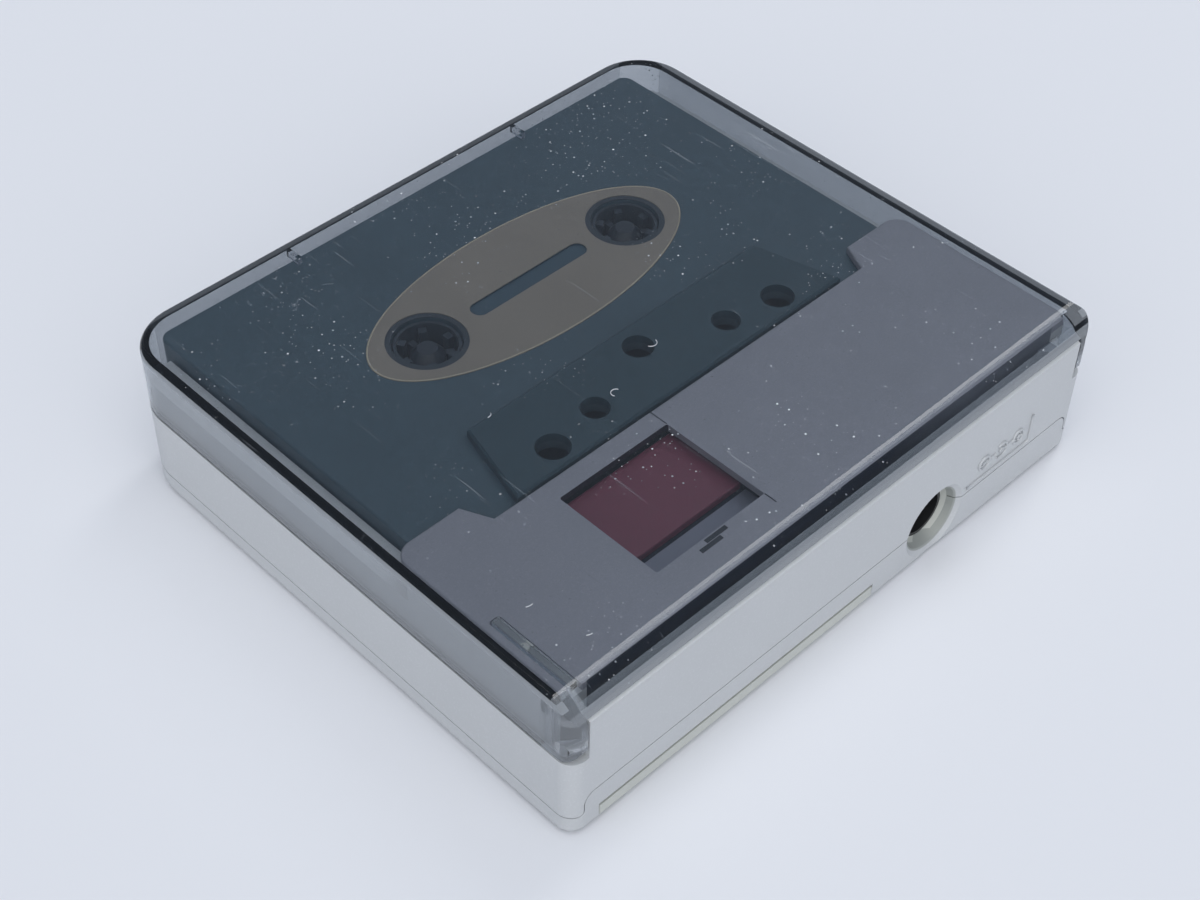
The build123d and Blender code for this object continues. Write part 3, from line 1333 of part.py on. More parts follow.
def shell_openings():
    """Cut the cavity of the cassette and everything that opens into it."""
    low = cassette_floor - bulge_rise - overrun
    high = cassette_top + bulge_rise + overrun
    for x in hub_x:
        rod(x, hub_line, hub_hole_radius, low, high, Mode.SUBTRACT)
    for side in (-1, 1):
        rod(cassette_centre + side * locator_offset, tape_edge - locator_inset, locator_radius,
            low, high, Mode.SUBTRACT)
        rod(cassette_centre + side * capstan_offset, tape_edge - capstan_inset, capstan_radius,
            low, high, Mode.SUBTRACT)
    rod(cassette_centre, tape_edge - centre_hole_inset, centre_hole_radius, low, high, Mode.SUBTRACT)
    for middle, half in ((-mouth_side_offset, mouth_side_half), (0, mouth_centre_half),
                         (mouth_side_offset, mouth_side_half)):
        slab(rect(cassette_centre + middle - half, cassette_centre + middle + half,
                  tape_edge - mouth_depth, tape_edge + overrun),
             cassette_middle - mouth_height / 2, cassette_middle + mouth_height / 2, Mode.SUBTRACT)
    slab(rect(cassette_left + cassette_side, cassette_right - cassette_side,
              cassette_front + cassette_side, tape_edge - cassette_side),
         shell_inner_low, shell_inner_high, Mode.SUBTRACT)


def shell_screws_at():
    """Places of the four screws that hold the cassette shell together."""
    rear = cassette_front + shell_screw_inset
    inner = bulge_half_front
    return ((cassette_left + shell_screw_inset, rear), (cassette_right - shell_screw_inset, rear),
            (cassette_centre - inner, shell_screw_line), (cassette_centre + inner, shell_screw_line))


# Cassette shell: two halves with the thick edge, hub holes and tape openings
with BuildPart() as cassette_shell_upper:
    slab(rect(cassette_left, cassette_right, cassette_front, tape_edge, cassette_corner),
         cassette_middle, cassette_top)
    fillet(cassette_shell_upper.faces().sort_by(Axis.Z)[-1].edges(), shell_edge)
    slab(bulge_plan(0), cassette_middle, cassette_top + bulge_rise)
    chamfer(cassette_shell_upper.faces().sort_by(Axis.Z)[-1].edges(), bulge_edge)
    shell_openings()
    slab(window_plan(), cassette_middle, cassette_top + overrun, Mode.SUBTRACT)
    for x, y in shell_screws_at():
        rod(x, y, shell_screw_boss, cassette_middle, shell_inner_high)
        rod(x, y, shell_screw_radius, cassette_middle - overrun, shell_screw_high, Mode.SUBTRACT)
finish(cassette_shell_upper, "cassette_shell_upper")

with BuildPart() as cassette_shell_lower:
    slab(rect(cassette_left, cassette_right, cassette_front, tape_edge, cassette_corner),
         cassette_floor, cassette_middle)
    fillet(cassette_shell_lower.faces().sort_by(Axis.Z)[0].edges(), shell_edge)
    slab(bulge_plan(0), cassette_floor - bulge_rise, cassette_middle)
    chamfer(cassette_shell_lower.faces().sort_by(Axis.Z)[0].edges(), bulge_edge)
    shell_openings()
    for x, y in shell_screws_at():
        rod(x, y, shell_screw_boss, shell_inner_low, cassette_middle)
        rod(x, y, shell_screw_radius, cassette_floor - overrun, cassette_middle + overrun, Mode.SUBTRACT)
        rod(x, y, shell_screw_head, cassette_floor - overrun, cassette_floor + shell_head_height,
            Mode.SUBTRACT)
    for side in (-1, 1):
        roller_x, roller_y = roller_place(side)
        rod(roller_x, roller_y, roller_pin_radius, shell_inner_low, shell_inner_high)
finish(cassette_shell_lower, "cassette_shell_lower")

# Label, window, screws, hubs, tape and rollers of the cassette
with BuildPart() as cassette_label:
    with BuildSketch(Plane.XY.offset(cassette_top)) as label_outline:
        with Locations((cassette_centre, hub_line)):
            Ellipse(label_half_length, label_half_depth)
        with Locations((hub_x[0], hub_line), (hub_x[1], hub_line)):
            Circle(label_hub_radius, mode=Mode.SUBTRACT)
        add(window_plan(), mode=Mode.SUBTRACT)
    extrude(amount=label_thick)
finish(cassette_label, "cassette_label")

with BuildPart() as cassette_window:
    slab(window_plan(), cassette_top - window_sink - window_thick, cassette_top - window_sink)
finish(cassette_window, "cassette_window")

with BuildPart() as cassette_screws:
    for x, y in shell_screws_at():
        rod(x, y, shell_screw_radius, cassette_floor + shell_screw_sunk, shell_screw_high)
        rod(x, y, shell_screw_head, cassette_floor + shell_screw_sunk, cassette_floor + shell_head_height)
finish(cassette_screws, "cassette_screws")

with BuildPart() as cassette_hub_left:
    hub(hub_x[0])
finish(cassette_hub_left, "cassette_hub_left")

with BuildPart() as cassette_hub_right:
    hub(hub_x[1])
finish(cassette_hub_right, "cassette_hub_right")

with BuildPart() as tape_pack_left:
    tape_pack(hub_x[0], pack_left_radius)
finish(tape_pack_left, "tape_pack_left")

with BuildPart() as tape_pack_right:
    tape_pack(hub_x[1], pack_right_radius)
finish(tape_pack_right, "tape_pack_right")

with BuildPart() as tape_run:
    with BuildSketch(Plane.XY.offset(tape_low)) as run_outline:
        with BuildLine():
            Polyline(*tape_points(-1, pack_left_radius), *reversed(tape_points(1, pack_right_radius)))
        trace(line_width=tape_thick)
    extrude(amount=tape_width)
finish(tape_run, "tape_run")

with BuildPart() as pressure_pad:
    tape_line = tape_edge - roller_inset_y + roller_radius + tape_clear
    slab(rect(cassette_centre - pad_spring_width / 2, cassette_centre + pad_spring_width / 2,
              tape_line - pad_depth - pad_spring_thick, tape_line - pad_depth),
         shell_inner_low, shell_inner_high)
    slab(rect(cassette_centre - pad_width / 2, cassette_centre + pad_width / 2,
              tape_line - pad_depth, tape_line), tape_low, tape_high)
finish(pressure_pad, "pressure_pad")

with BuildPart() as cassette_rollers:
    for side in (-1, 1):
        roller_x, roller_y = roller_place(side)
        rod(roller_x, roller_y, roller_radius, shell_inner_low + hub_float, shell_inner_high - hub_float)
        rod(roller_x, roller_y, roller_pin_radius, shell_inner_low, shell_inner_high, Mode.SUBTRACT)
finish(cassette_rollers, "cassette_rollers")
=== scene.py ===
"""Looks of the battery cassette winder and eraser: finishes, printed marks, wear and studio.

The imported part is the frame. Every piece made here is worked out with numpy, in metres, in the
part's own frame: +Z up, the lid's opening side towards -Y, the hinge and power jack towards +Y.
"""
import logging
from dataclasses import dataclass, field
from enum import Enum
from functools import cached_property, reduce
from typing import Sequence

import bpy
import numpy as np
from mathutils import Matrix, Vector


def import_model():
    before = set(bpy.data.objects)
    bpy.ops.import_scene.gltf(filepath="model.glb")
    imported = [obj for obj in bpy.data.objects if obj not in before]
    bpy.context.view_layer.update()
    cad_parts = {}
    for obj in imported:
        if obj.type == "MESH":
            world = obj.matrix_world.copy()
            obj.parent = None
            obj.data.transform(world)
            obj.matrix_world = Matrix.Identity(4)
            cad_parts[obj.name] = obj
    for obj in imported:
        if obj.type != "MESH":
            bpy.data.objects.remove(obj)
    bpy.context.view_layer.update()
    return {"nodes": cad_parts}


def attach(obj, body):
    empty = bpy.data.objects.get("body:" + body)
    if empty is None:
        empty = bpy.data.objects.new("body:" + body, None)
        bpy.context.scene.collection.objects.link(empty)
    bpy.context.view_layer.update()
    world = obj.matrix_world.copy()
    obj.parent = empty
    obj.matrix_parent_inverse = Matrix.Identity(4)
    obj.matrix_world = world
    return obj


LOG = logging.getLogger("cassette_eraser")
MM = 0.001
# Places of the cassette's two hub axes, in millimetres
HUBS = ((-21.55, -18.7), (20.95, -18.7))
Colour = tuple[float, float, float]
Point = tuple[float, float, float]
Socket = bpy.types.NodeSocket


def seen(red: float, green: float, blue: float) -> Colour:
    """Turn a colour as it looks on a screen into the linear values that a shader takes.

    The curve is the usual one of screens: a straight line near black and a power of 2.4 above it.

    Args:
        red: red from 0 to 255.
        green: green from 0 to 255.
        blue: blue from 0 to 255.

    Returns:
        The three linear values from 0 to 1.
    """
    share = np.array([red, green, blue]) / 255.0
    linear = np.where(share <= 0.04045, share / 12.92, ((share + 0.055) / 1.055) ** 2.4)
    return tuple(float(value) for value in linear)


def scaled(colour: Colour, factor: float, more: float = 0.0) -> Colour:
    """Return a colour times a factor, plus a little more, held at 1."""
    return tuple(min(channel * factor + more, 1.0) for channel in colour)


class Body(Enum):
    """Rigid bodies that the pieces made here ride on."""

    BASE = "base"
    LID = "lid"


class ShaderBoard:
    """A material whose shader nodes are added and joined one at a time."""

    def __init__(self, name: str) -> None:
        """Make an empty node material.

        Args:
            name: name of the material.
        """
        self.material = bpy.data.materials.new(name)
        self.material.use_nodes = True
        self.tree = self.material.node_tree
        self.tree.nodes.clear()
        self.output = self.tree.nodes.new("ShaderNodeOutputMaterial")

    def add(self, kind: str, **values: object) -> bpy.types.Node:
        """Add a node and set its sockets or properties.

        Args:
            kind: Blender's name of the node type.
            values: socket values by name with underscores for spaces, or node properties.

        Returns:
            The new node.
        """
        node = self.tree.nodes.new(kind)
        for key, value in values.items():
            if hasattr(node, key):
                setattr(node, key, value)
            else:
                node.inputs[key.replace("_", " ")].default_value = value
        return node

    def join(self, start: Socket, end: Socket) -> None:
        """Link one socket to another."""
        self.tree.links.new(start, end)

    def feed(self, value: object, socket: Socket) -> None:
        """Give a socket its value.

        Args:
            value: another socket to link it to, or a constant.
            socket: the socket.
        """
        if isinstance(value, Socket):
            self.join(value, socket)
        else:
            socket.default_value = value

    @cached_property
    def place(self) -> Socket:
        """Return the object's own coordinates, in metres."""
        return self.add("ShaderNodeTexCoord").outputs["Object"]

    @cached_property
    def axes(self) -> tuple[Socket, ...]:
        """Return the object's own x, y and z, one socket each.

        Returns:
            The three sockets.
        """
        parts = self.add("ShaderNodeSeparateXYZ")
        self.join(self.place, parts.inputs[0])
        return tuple(parts.outputs)

    def noise(self, cell: float, detail: float = 2.0, rough: float = 0.5,
              place: Socket | None = None) -> Socket:
        """Add a smooth noise.

        Args:
            cell: size of one noise cell in metres.
            detail: how many finer layers are added.
            rough: strength of the finer layers.
            place: coordinates that the noise reads, or the object's own.

        Returns:
            The noise's value socket, about 0.5 on average.
        """
        node = self.add("ShaderNodeTexNoise", Scale=1.0 / cell, Detail=detail, Roughness=rough)
        self.join(self.place if place is None else place, node.inputs["Vector"])
        return node.outputs["Fac"]

    def ramp(self, value: Socket, low: float, high: float, start: float = 0.0, end: float = 1.0) -> Socket:
        """Map a value between two limits onto another range, held at both ends.

        Args:
            value: socket to read.
            low: value that gives start.
            high: value that gives end.
            start: result at low.
            end: result at high.

        Returns:
            The mapped value's socket.
        """
        node = self.add("ShaderNodeMapRange", clamp=True, From_Min=low, From_Max=high, To_Min=start,
                        To_Max=end)
        self.join(value, node.inputs["Value"])
        return node.outputs["Result"]

    def maths(self, operation: str, *values: object) -> Socket:
        """Work out a value from others.

        Args:
            operation: Blender's name of the operation.
            values: its inputs in order, each a socket or a number.

        Returns:
            The result's socket.
        """
        node = self.add("ShaderNodeMath", operation=operation)
        for value, socket in zip(values, node.inputs):
            self.feed(value, socket)
        return node.outputs[0]

    def times(self, first: Socket, second: Socket) -> Socket:
        """Multiply two values and return the product's socket."""
        return self.maths("MULTIPLY", first, second)

    def most(self, first: Socket, second: Socket) -> Socket:
        """Return the socket of the larger of two values."""
        return self.maths("MAXIMUM", first, second)

    def within(self, value: Socket, low: float, high: float) -> Socket:
        """Return a socket that is 1 where a value lies between two limits and 0 elsewhere."""
        return self.maths("COMPARE", value, (low + high) / 2, (high - low) / 2)

    def distance(self, place: Socket, point: Point) -> Socket:
        """Measure how far a place is from a fixed point.

        Args:
            place: coordinates to read.
            point: the fixed point, in metres.

        Returns:
            The distance's socket, in metres.
        """
        node = self.add("ShaderNodeVectorMath", operation="DISTANCE")
        self.join(place, node.inputs[0])
        node.inputs[1].default_value = point
        return node.outputs["Value"]

    def blend(self, share: Socket, first: object, second: object) -> Socket:
        """Mix two colours.

        Args:
            share: socket with the second colour's share.
            first: a colour, or a colour socket.
            second: a colour, or a colour socket.

        Returns:
            The mixed colour's socket.
        """
        node = self.add("ShaderNodeMix", data_type="RGBA")
        self.join(share, node.inputs["Factor"])
        for value, socket in ((first, node.inputs[6]), (second, node.inputs[7])):
            self.feed(value if isinstance(value, Socket) else (*value, 1.0), socket)
        return node.outputs[2]

    def layer(self, share: Socket, under: Socket, over: Socket) -> Socket:
        """Lay one shader over another.

        Args:
            share: socket with the upper shader's share.
            under: the lower shader.
            over: the upper shader.

        Returns:
            The mixed shader's socket.
        """
        node = self.add("ShaderNodeMixShader")
        for value, socket in zip((share, under, over), node.inputs):
            self.join(value, socket)
        return node.outputs[0]

    def mottle(self, cell: float, dark: Colour, light: Colour) -> Socket:
        """Mix two colours by a slow noise and return the colour's socket."""
        return self.blend(self.ramp(self.noise(cell, detail=3.0), low=0.3, high=0.7), dark, light)

    def sparkle(self, share: float, colour: Socket, bright: Colour) -> Socket:
        """Scatter bright flakes over a colour.

        Args:
            share: how far the flakes cover the colour, from 0 to 1.
            colour: colour under them.
            bright: colour of the flakes.

        Returns:
            The colour's socket.
        """
        flakes = self.ramp(self.noise(cell=0.00035, detail=1.0), low=0.55, high=0.8, end=share)
        return self.blend(flakes, colour, bright)

    def grain(self, shader: bpy.types.Node, cell: float, depth: float, roughness: float) -> None:
        """Give a shader a fine grain: one noise sets both its roughness and its bumps.

        Args:
            shader: shader that gets the grain.
            cell: size of the grain in metres.
            depth: depth of the grain in metres.
            roughness: mean roughness, from which it goes a tenth up and down.
        """
        fine = self.noise(cell)
        rough = self.ramp(fine, low=0.2, high=0.8, start=roughness * 0.9, end=min(roughness * 1.1, 1.0))
        self.join(rough, shader.inputs["Roughness"])
        bumps = self.add("ShaderNodeBump", Strength=1.0, Distance=depth)
        self.join(fine, bumps.inputs["Height"])
        self.join(bumps.outputs["Normal"], shader.inputs["Normal"])

    def paint(self, colour: Socket, patches: Sequence["Place"]) -> Socket:
        """Lay places of another colour over a colour.

        Args:
            colour: colour under them.
            patches: the places, later ones on top.

        Returns:
            The colour's socket.
        """
        for patch in patches:
            colour = self.blend(patch.cover(self), colour, patch.colour)
        return colour

    def finish(self, shader: Socket) -> bpy.types.Material:
        """Join the last shader to the output and return the material."""
        self.join(shader, self.output.inputs["Surface"])
        return self.material


@dataclass(frozen=True)
class Patch:
    """A box-shaped place on a piece where its surface differs.

    Attributes:
        low: lowest corner, in metres.
        high: highest corner, in metres.
        colour: linear colour inside the box.
        share: how far a clear surface is dulled there, from 0 to 1; other surfaces take it whole.
        fade: length from its lowest x over which it fades in, in metres.
    """

    low: Point
    high: Point
    colour: Colour
    share: float = 1.0
    fade: float = 0.0

    def cover(self, board: ShaderBoard) -> Socket:
        """Work out where the box lies: between its two corners on every axis.

        Args:
            board: material that is being made.

        Returns:
            Socket that is 1 inside the box and 0 outside.
        """
        inside = [board.within(*limits) for limits in zip(board.axes, self.low, self.high)]
        if self.fade > 0.0:
            inside.append(board.ramp(board.axes[0], self.low[0], self.low[0] + self.fade))
        return reduce(board.times, inside)


@dataclass(frozen=True)
class RoundPatch:
    """A round place on a piece where its surface differs.

    Attributes:
        axis: number of the axis that it stands along: 0 for x, 1 for y and 2 for z.
        middle: its middle on the two other axes, in metres.
        radius: its radius, in metres.
        reach: where it starts and ends along its axis, in metres.
        colour: linear colour inside it.
        rim: width of its soft edge, in metres.
    """

    axis: int
    middle: tuple[float, float]
    radius: float
    reach: tuple[float, float]
    colour: Colour
    rim: float = 0.0001

    def cover(self, board: ShaderBoard) -> Socket:
        """Work out where it lies: near its middle, and between its two ends.

        Args:
            board: material that is being made.

        Returns:
            Socket that is 1 inside it and 0 outside.
        """
        flat = board.add("ShaderNodeCombineXYZ")
        others = [value for number, value in enumerate(board.axes) if number != self.axis]
        for value, socket in zip(others, flat.inputs):
            board.join(value, socket)
        gap = board.distance(flat.outputs[0], (*self.middle, 0.0))
        near = board.ramp(gap, self.radius, self.radius + self.rim, start=1.0, end=0.0)
        return board.times(near, board.within(board.axes[self.axis], *self.reach))


Place = Patch | RoundPatch


@dataclass(frozen=True)
class Moulded:
    """Moulded plastic, rubber or paper with a fine grain and a slight unevenness of colour.

    Attributes:
        name: name of the finish.
        colour: linear colour.
        roughness: roughness of the surface.
        grain: size of the grain in metres.
        grain_depth: depth of the grain in metres.
        uneven: share of the colour that varies from place to place.
        cloud: size of its lighter and darker places, in metres.
        gloss: specular level.
        metal: share of metal.
        flakes: share of bright flakes, as in silver lacquer.
        patches: places with another colour, some of them painted shade.
    """

    name: str
    colour: Colour
    roughness: float = 0.5
    grain: float = 0.0004
    grain_depth: float = 0.00001
    uneven: float = 0.06
    cloud: float = 0.018
    gloss: float = 0.5
    metal: float = 0.0
    flakes: float = 0.0
    patches: tuple[Place, ...] = ()

    def tones(self) -> tuple[Colour, Colour, Colour]:
        """Return its darkest and lightest tone and the colour of its flakes."""
        dark, light = (scaled(self.colour, 1.0 + change) for change in (-self.uneven, self.uneven))
        return dark, light, scaled(self.colour, 1.35, 0.05)

    def build(self) -> bpy.types.Material:
        """Make the material.

        Returns:
            The finished material.
        """
        board = ShaderBoard(self.name)
        shader = board.add("ShaderNodeBsdfPrincipled", Metallic=self.metal, Specular_IOR_Level=self.gloss)
        dark, light, bright = self.tones()
        colour = board.mottle(self.cloud, dark, light)
        if self.flakes > 0.0:
            colour = board.sparkle(self.flakes, colour, bright)
        board.join(board.paint(colour, self.patches), shader.inputs["Base Color"])
        board.grain(shader, self.grain, self.grain_depth, self.roughness)
        return board.finish(shader.outputs["BSDF"])


@dataclass(frozen=True)
class Lacquered(Moulded):
    """Silver lacquer over moulded plastic; its attributes are those of Moulded."""

    roughness: float = 0.4
    grain: float = 0.0005
    grain_depth: float = 0.000006
    uneven: float = 0.025
    cloud: float = 0.02
    gloss: float = 0.4
    metal: float = 0.12
    flakes: float = 0.22

    def tones(self) -> tuple[Colour, Colour, Colour]:
        """Return its darkest and lightest tone and the colour of its flakes."""
        return scaled(self.colour, 1.0 - self.uneven), self.colour, scaled(self.colour, 1.3, 0.04)


@dataclass(frozen=True)
class SmokedClear:
    """Smoked clear acrylic with dust, fine scratches, worn edges, and dull places of painted reflection and
    shade.

    Attributes:
        name: name of the finish.
        kept: linear colour that light keeps on a way of one wall's thickness.
        patches: dull places of painted reflection and shade, each with its colour and share.
        wall: thickness of that wall, in metres.
        index: index of refraction.
        roughness: roughness of the surface.
        shadow: share of light that passes on the way to a shadow.
        dust: the sizes of dust: cells in one metre, a speck's share of its cell and its strength.
        dust_colour: linear colour of dust and scratches.
        scratches: share of the scratches that show.
        scratch_scale: scale of the scratches' noise; its small y draws spots out to lines along y.
        scratch_turn: turn of that noise about z after the scale, in radians.
        film: share of the worn film that shows.
        scuff_height: height of the worn places, in metres.
        scuffs: worn places as x, y and reach, in metres.
    """

    name: str
    kept: Colour
    patches: tuple[Patch, ...]
    wall: float = 0.0018
    index: float = 1.49
    roughness: float = 0.02
    shadow: float = 0.96
    dust: tuple[tuple[float, float, float], ...] = ((420.0, 0.052, 1.0), (150.0, 0.022, 1.0),
                                                    (900.0, 0.07, 0.6))
    dust_colour: Colour = (0.75, 0.78, 0.82)
    scratches: float = 0.12
    scratch_scale: Point = (1.0, 0.045, 0.2)
    scratch_turn: float = 0.9
    film: float = 0.35
    scuff_height: float = 0.0265
    scuffs: tuple[tuple[float, float, float], ...] = ((0.0535, 0.0095, 0.004), (0.030, -0.041, 0.013),
                                                      (0.043, -0.027, 0.009))

    def build(self) -> bpy.types.Material:
        """Make the material: clear and dull surface, and smoke that takes light away on its way.

        Light kept on the way through one wall is e to the power of minus loss times thickness, so the
        loss is minus the logarithm of the kept light over the thickness. The density is a tenth over
        the largest loss, which keeps the smoke's own colour above black.

        Returns:
            The finished material.
        """
        board = ShaderBoard(self.name)
        clear = board.add("ShaderNodeBsdfPrincipled", Base_Color=(1.0, 1.0, 1.0, 1.0),
                          Transmission_Weight=1.0, IOR=self.index, Roughness=self.roughness)
        shaded = board.add("ShaderNodeBsdfTransparent", Color=(self.shadow, self.shadow, self.shadow, 1.0))
        path = board.add("ShaderNodeLightPath")
        through = board.layer(path.outputs["Is Shadow Ray"], clear.outputs["BSDF"], shaded.outputs["BSDF"])
        matt = board.add("ShaderNodeBsdfDiffuse")
        share, colour = self.dull(board)
        board.join(colour, matt.inputs["Color"])
        loss = -np.log(np.array(self.kept)) / self.wall
        density = float(loss.max()) * 1.1
        smoke = board.add("ShaderNodeVolumeAbsorption", Density=density)
        smoke.inputs["Color"].default_value = (*(1.0 - loss / density).tolist(), 1.0)
        board.join(smoke.outputs["Volume"], board.output.inputs["Volume"])
        return board.finish(board.layer(share, through, matt.outputs["BSDF"]))

    def dull(self, board: ShaderBoard) -> tuple[Socket, Socket]:
        """Put the wear and the dull places of painted reflection and shade together.

        Args:
            board: material that is being made.

        Returns:
            Sockets with the share of the surface that is dull, and with its colour there.
        """
        share = self.wear(board)
        dust = board.add("ShaderNodeRGB")
        dust.outputs[0].default_value = (*self.dust_colour, 1.0)
        colour = dust.outputs[0]
        for patch in self.patches:
            cover = patch.cover(board)
            share = board.most(share, board.maths("MULTIPLY", cover, patch.share))
            colour = board.blend(cover, colour, patch.colour)
        return share, colour

    def wear(self, board: ShaderBoard) -> Socket:
        """Work out where dust, scratches and worn places lie.

        Args:
            board: material that is being made.

        Returns:
            Socket with their share of the surface, from 0 to 1.
        """
        shares = [self.specks(board, *size) for size in self.dust]
        stretch = board.add("ShaderNodeMapping", Rotation=(0.0, 0.0, self.scratch_turn),
                            Scale=self.scratch_scale)
        board.join(board.place, stretch.inputs["Vector"])
        lines = board.noise(cell=0.0007, detail=1.0, place=stretch.outputs["Vector"])
        shares.append(board.ramp(lines, low=0.74, high=0.8, end=self.scratches))
        streaks = board.noise(cell=0.0012, detail=4.0, rough=0.7)
        film = board.ramp(streaks, low=0.62, high=0.72, end=self.film)
        for x, y, reach in self.scuffs:
            gap = board.distance(board.place, (x, y, self.scuff_height))
            shares.append(board.times(board.ramp(gap, reach * 0.3, reach, start=1.0, end=0.0), film))
        return reduce(board.most, shares)

    def specks(self, board: ShaderBoard, scale: float, size: float, strength: float) -> Socket:
        """Scatter dust specks: one in each cell of a random grid, thinned out by a slow noise.

        Args:
            board: material that is being made.
            scale: cells in one metre.
            size: a speck's radius as a share of a cell.
            strength: how strongly a speck covers the surface.

        Returns:
            Socket with the specks' share.
        """
        cells = board.add("ShaderNodeTexVoronoi", Scale=scale)
        board.join(board.place, cells.inputs["Vector"])
        dots = board.ramp(cells.outputs["Distance"], size, size * 1.6, start=1.0, end=0.0)
        spread = board.ramp(board.noise(cell=0.02, detail=3.0), low=0.42, high=0.62, end=strength)
        return board.times(dots, spread)


@dataclass(frozen=True)
class Metal:
    """Bare or plated metal.

    Attributes:
        name: name of the finish.
        colour: linear colour.
        roughness: roughness of the surface.
    """

    name: str
    colour: Colour
    roughness: float = 0.3

    def build(self) -> bpy.types.Material:
        """Make the material: a slow noise smears its roughness.

        Returns:
            The finished material.
        """
        board = ShaderBoard(self.name)
        shader = board.add("ShaderNodeBsdfPrincipled", Metallic=1.0, Base_Color=(*self.colour, 1.0))
        smear = board.noise(cell=0.004, detail=3.0)
        low, high = self.roughness * 0.8, self.roughness * 1.25
        rough = board.ramp(smear, low=0.3, high=0.7, start=low, end=high)
        board.join(rough, shader.inputs["Roughness"])
        return board.finish(shader.outputs["BSDF"])


@dataclass(frozen=True)
class WoundTape:
    """Edge of wound tape: fine rings about the hub's axis.

    Attributes:
        name: name of the finish.
        colour: linear colour.
        hub: place of the hub's axis, in metres.
    """

    name: str
    colour: Colour
    hub: tuple[float, float]

    def build(self) -> bpy.types.Material:
        """Make the material: a wave of the distance from the hub's axis sets colour and roughness.

        Returns:
            The finished material.
        """
        board = ShaderBoard(self.name)
        shift = board.add("ShaderNodeMapping", Location=(-self.hub[0], -self.hub[1], 0.0))
        board.join(board.place, shift.inputs["Vector"])
        rings = board.add("ShaderNodeTexWave", wave_type="RINGS", rings_direction="Z", Scale=900.0,
                          Distortion=1.2, Detail=2.0)
        board.join(shift.outputs["Vector"], rings.inputs["Vector"])
        shader = board.add("ShaderNodeBsdfPrincipled")
        lighter = scaled(self.colour, 1.7)
        board.join(board.blend(rings.outputs["Fac"], self.colour, lighter), shader.inputs["Base Color"])
        rough = board.ramp(rings.outputs["Fac"], low=0.0, high=1.0, start=0.22, end=0.4)
        board.join(rough, shader.inputs["Roughness"])
        return board.finish(shader.outputs["BSDF"])


Finish = Moulded | SmokedClear | Metal | WoundTape

# Case, deck and door: painted shade in the erase window's pocket, on the window's front wall and in the
# groove behind the deck; the jack's recess in bare plastic
# Painted shade: the erase window's pocket and front wall are painted near black, and the pocket's rear floor
# strip a grey darker than the lacquer
POCKET_SHADE = Patch((0.0066, 0.0176, 0.0206), (0.0306, 0.0401, 0.0243), seen(20, 24, 37))
POCKET_REAR_SHADE = Patch((0.0066, 0.0346, 0.0219), (0.0306, 0.0401, 0.0221), seen(116, 120, 134))
WINDOW_WALL_SHADE = Patch((0.0080, 0.01995, 0.0243), (0.0304, 0.02030, 0.02557), seen(20, 24, 38))
# Painted shade in the groove behind the deck: grey, with near black over it that fades in from x = -29 mm
# over 18 mm towards +x
GROOVE_SHADE = Patch((-0.0497, 0.04555, 0.0202), (0.0497, 0.04822, 0.0257), seen(112, 117, 128))
GROOVE_DEEP_SHADE = Patch((-0.0290, 0.04555, 0.0202), (0.0497, 0.04822, 0.0257), seen(24, 32, 48), fade=0.018)
JACK_RECESS = RoundPatch(1, (-0.0204, 0.0074), 0.0057, (0.0455, 0.06), seen(154, 158, 155))
SILVER = Lacquered("silver_lacquer", seen(190, 193, 196),
                   patches=(JACK_RECESS, POCKET_SHADE, POCKET_REAR_SHADE, GROOVE_SHADE, GROOVE_DEEP_SHADE))
DECK = Moulded("deck_lacquer", seen(143, 144, 153), roughness=0.42, grain_depth=0.000006, uneven=0.03,
               gloss=0.4, metal=0.15, flakes=0.3, patches=(GROOVE_SHADE, GROOVE_DEEP_SHADE, WINDOW_WALL_SHADE))
IVORY = Moulded("door_plastic", seen(188, 191, 186), roughness=0.4, grain=0.0005, grain_depth=0.000006,
                uneven=0.02)

# Places of the smoked lid painted with a pale dull coat, a painted reflection that stands in for the lit
# silver case seen through its edges and the light on them: lowest corner, highest corner and share
PAINTED_SHEEN = (0.56, 0.60, 0.65)
PAINTED_SHEEN_PLACES = (
    ((-0.0562, 0.0470, 0.0242), (0.0562, 0.0500, 0.0256), 0.32),  # low edge of the back
    ((-0.0565, 0.0440, 0.0150), (-0.0480, 0.0500, 0.0242), 0.2),  # left hinge cheek
    ((0.0480, 0.0440, 0.0150), (0.0565, 0.0500, 0.0242), 0.2),  # right hinge cheek
    ((-0.0565, -0.0500, 0.0165), (-0.0555, 0.0440, 0.0264), 0.26),  # left skirt
    ((0.0555, -0.0500, 0.0165), (0.0565, 0.0440, 0.0264), 0.26),  # right skirt
    ((-0.0555, -0.0500, 0.0165), (0.0555, -0.0490, 0.0264), 0.26),  # front skirt
    ((-0.0565, -0.0500, 0.0264), (-0.0548, 0.0500, 0.0271), 0.42),  # left shoulder
    ((0.0548, -0.0500, 0.0264), (0.0565, 0.0500, 0.0272), 0.42),  # right shoulder
    ((-0.0555, -0.0500, 0.0264), (0.0555, -0.0483, 0.0271), 0.42),  # front shoulder
    ((-0.0563, -0.0480, 0.0270), (-0.0543, 0.0497, 0.0277), 0.2),  # left edge of the top
    ((-0.0563, -0.0498, 0.0270), (0.0563, -0.0480, 0.0277), 0.09),  # front edge of the top
    ((-0.0563, 0.0455, 0.0262), (-0.0525, 0.0500, 0.0277), 0.22),  # left back corner
    ((0.0525, 0.0455, 0.0240), (0.0563, 0.0500, 0.0277), 0.2),  # right back corner
)
# Painted shade: the skirt's bottom face is painted dark grey, for the shade in the gap over the case below
SKIRT_FOOT_SHADE = Patch((-0.0565, -0.0500, 0.01645), (0.0565, 0.0440, 0.01661), seen(58, 62, 70), 0.92)
SMOKE = SmokedClear("smoked_acrylic", (0.67, 0.695, 0.72), (
    *(Patch(low, high, PAINTED_SHEEN, share) for low, high, share in PAINTED_SHEEN_PLACES), SKIRT_FOOT_SHADE))
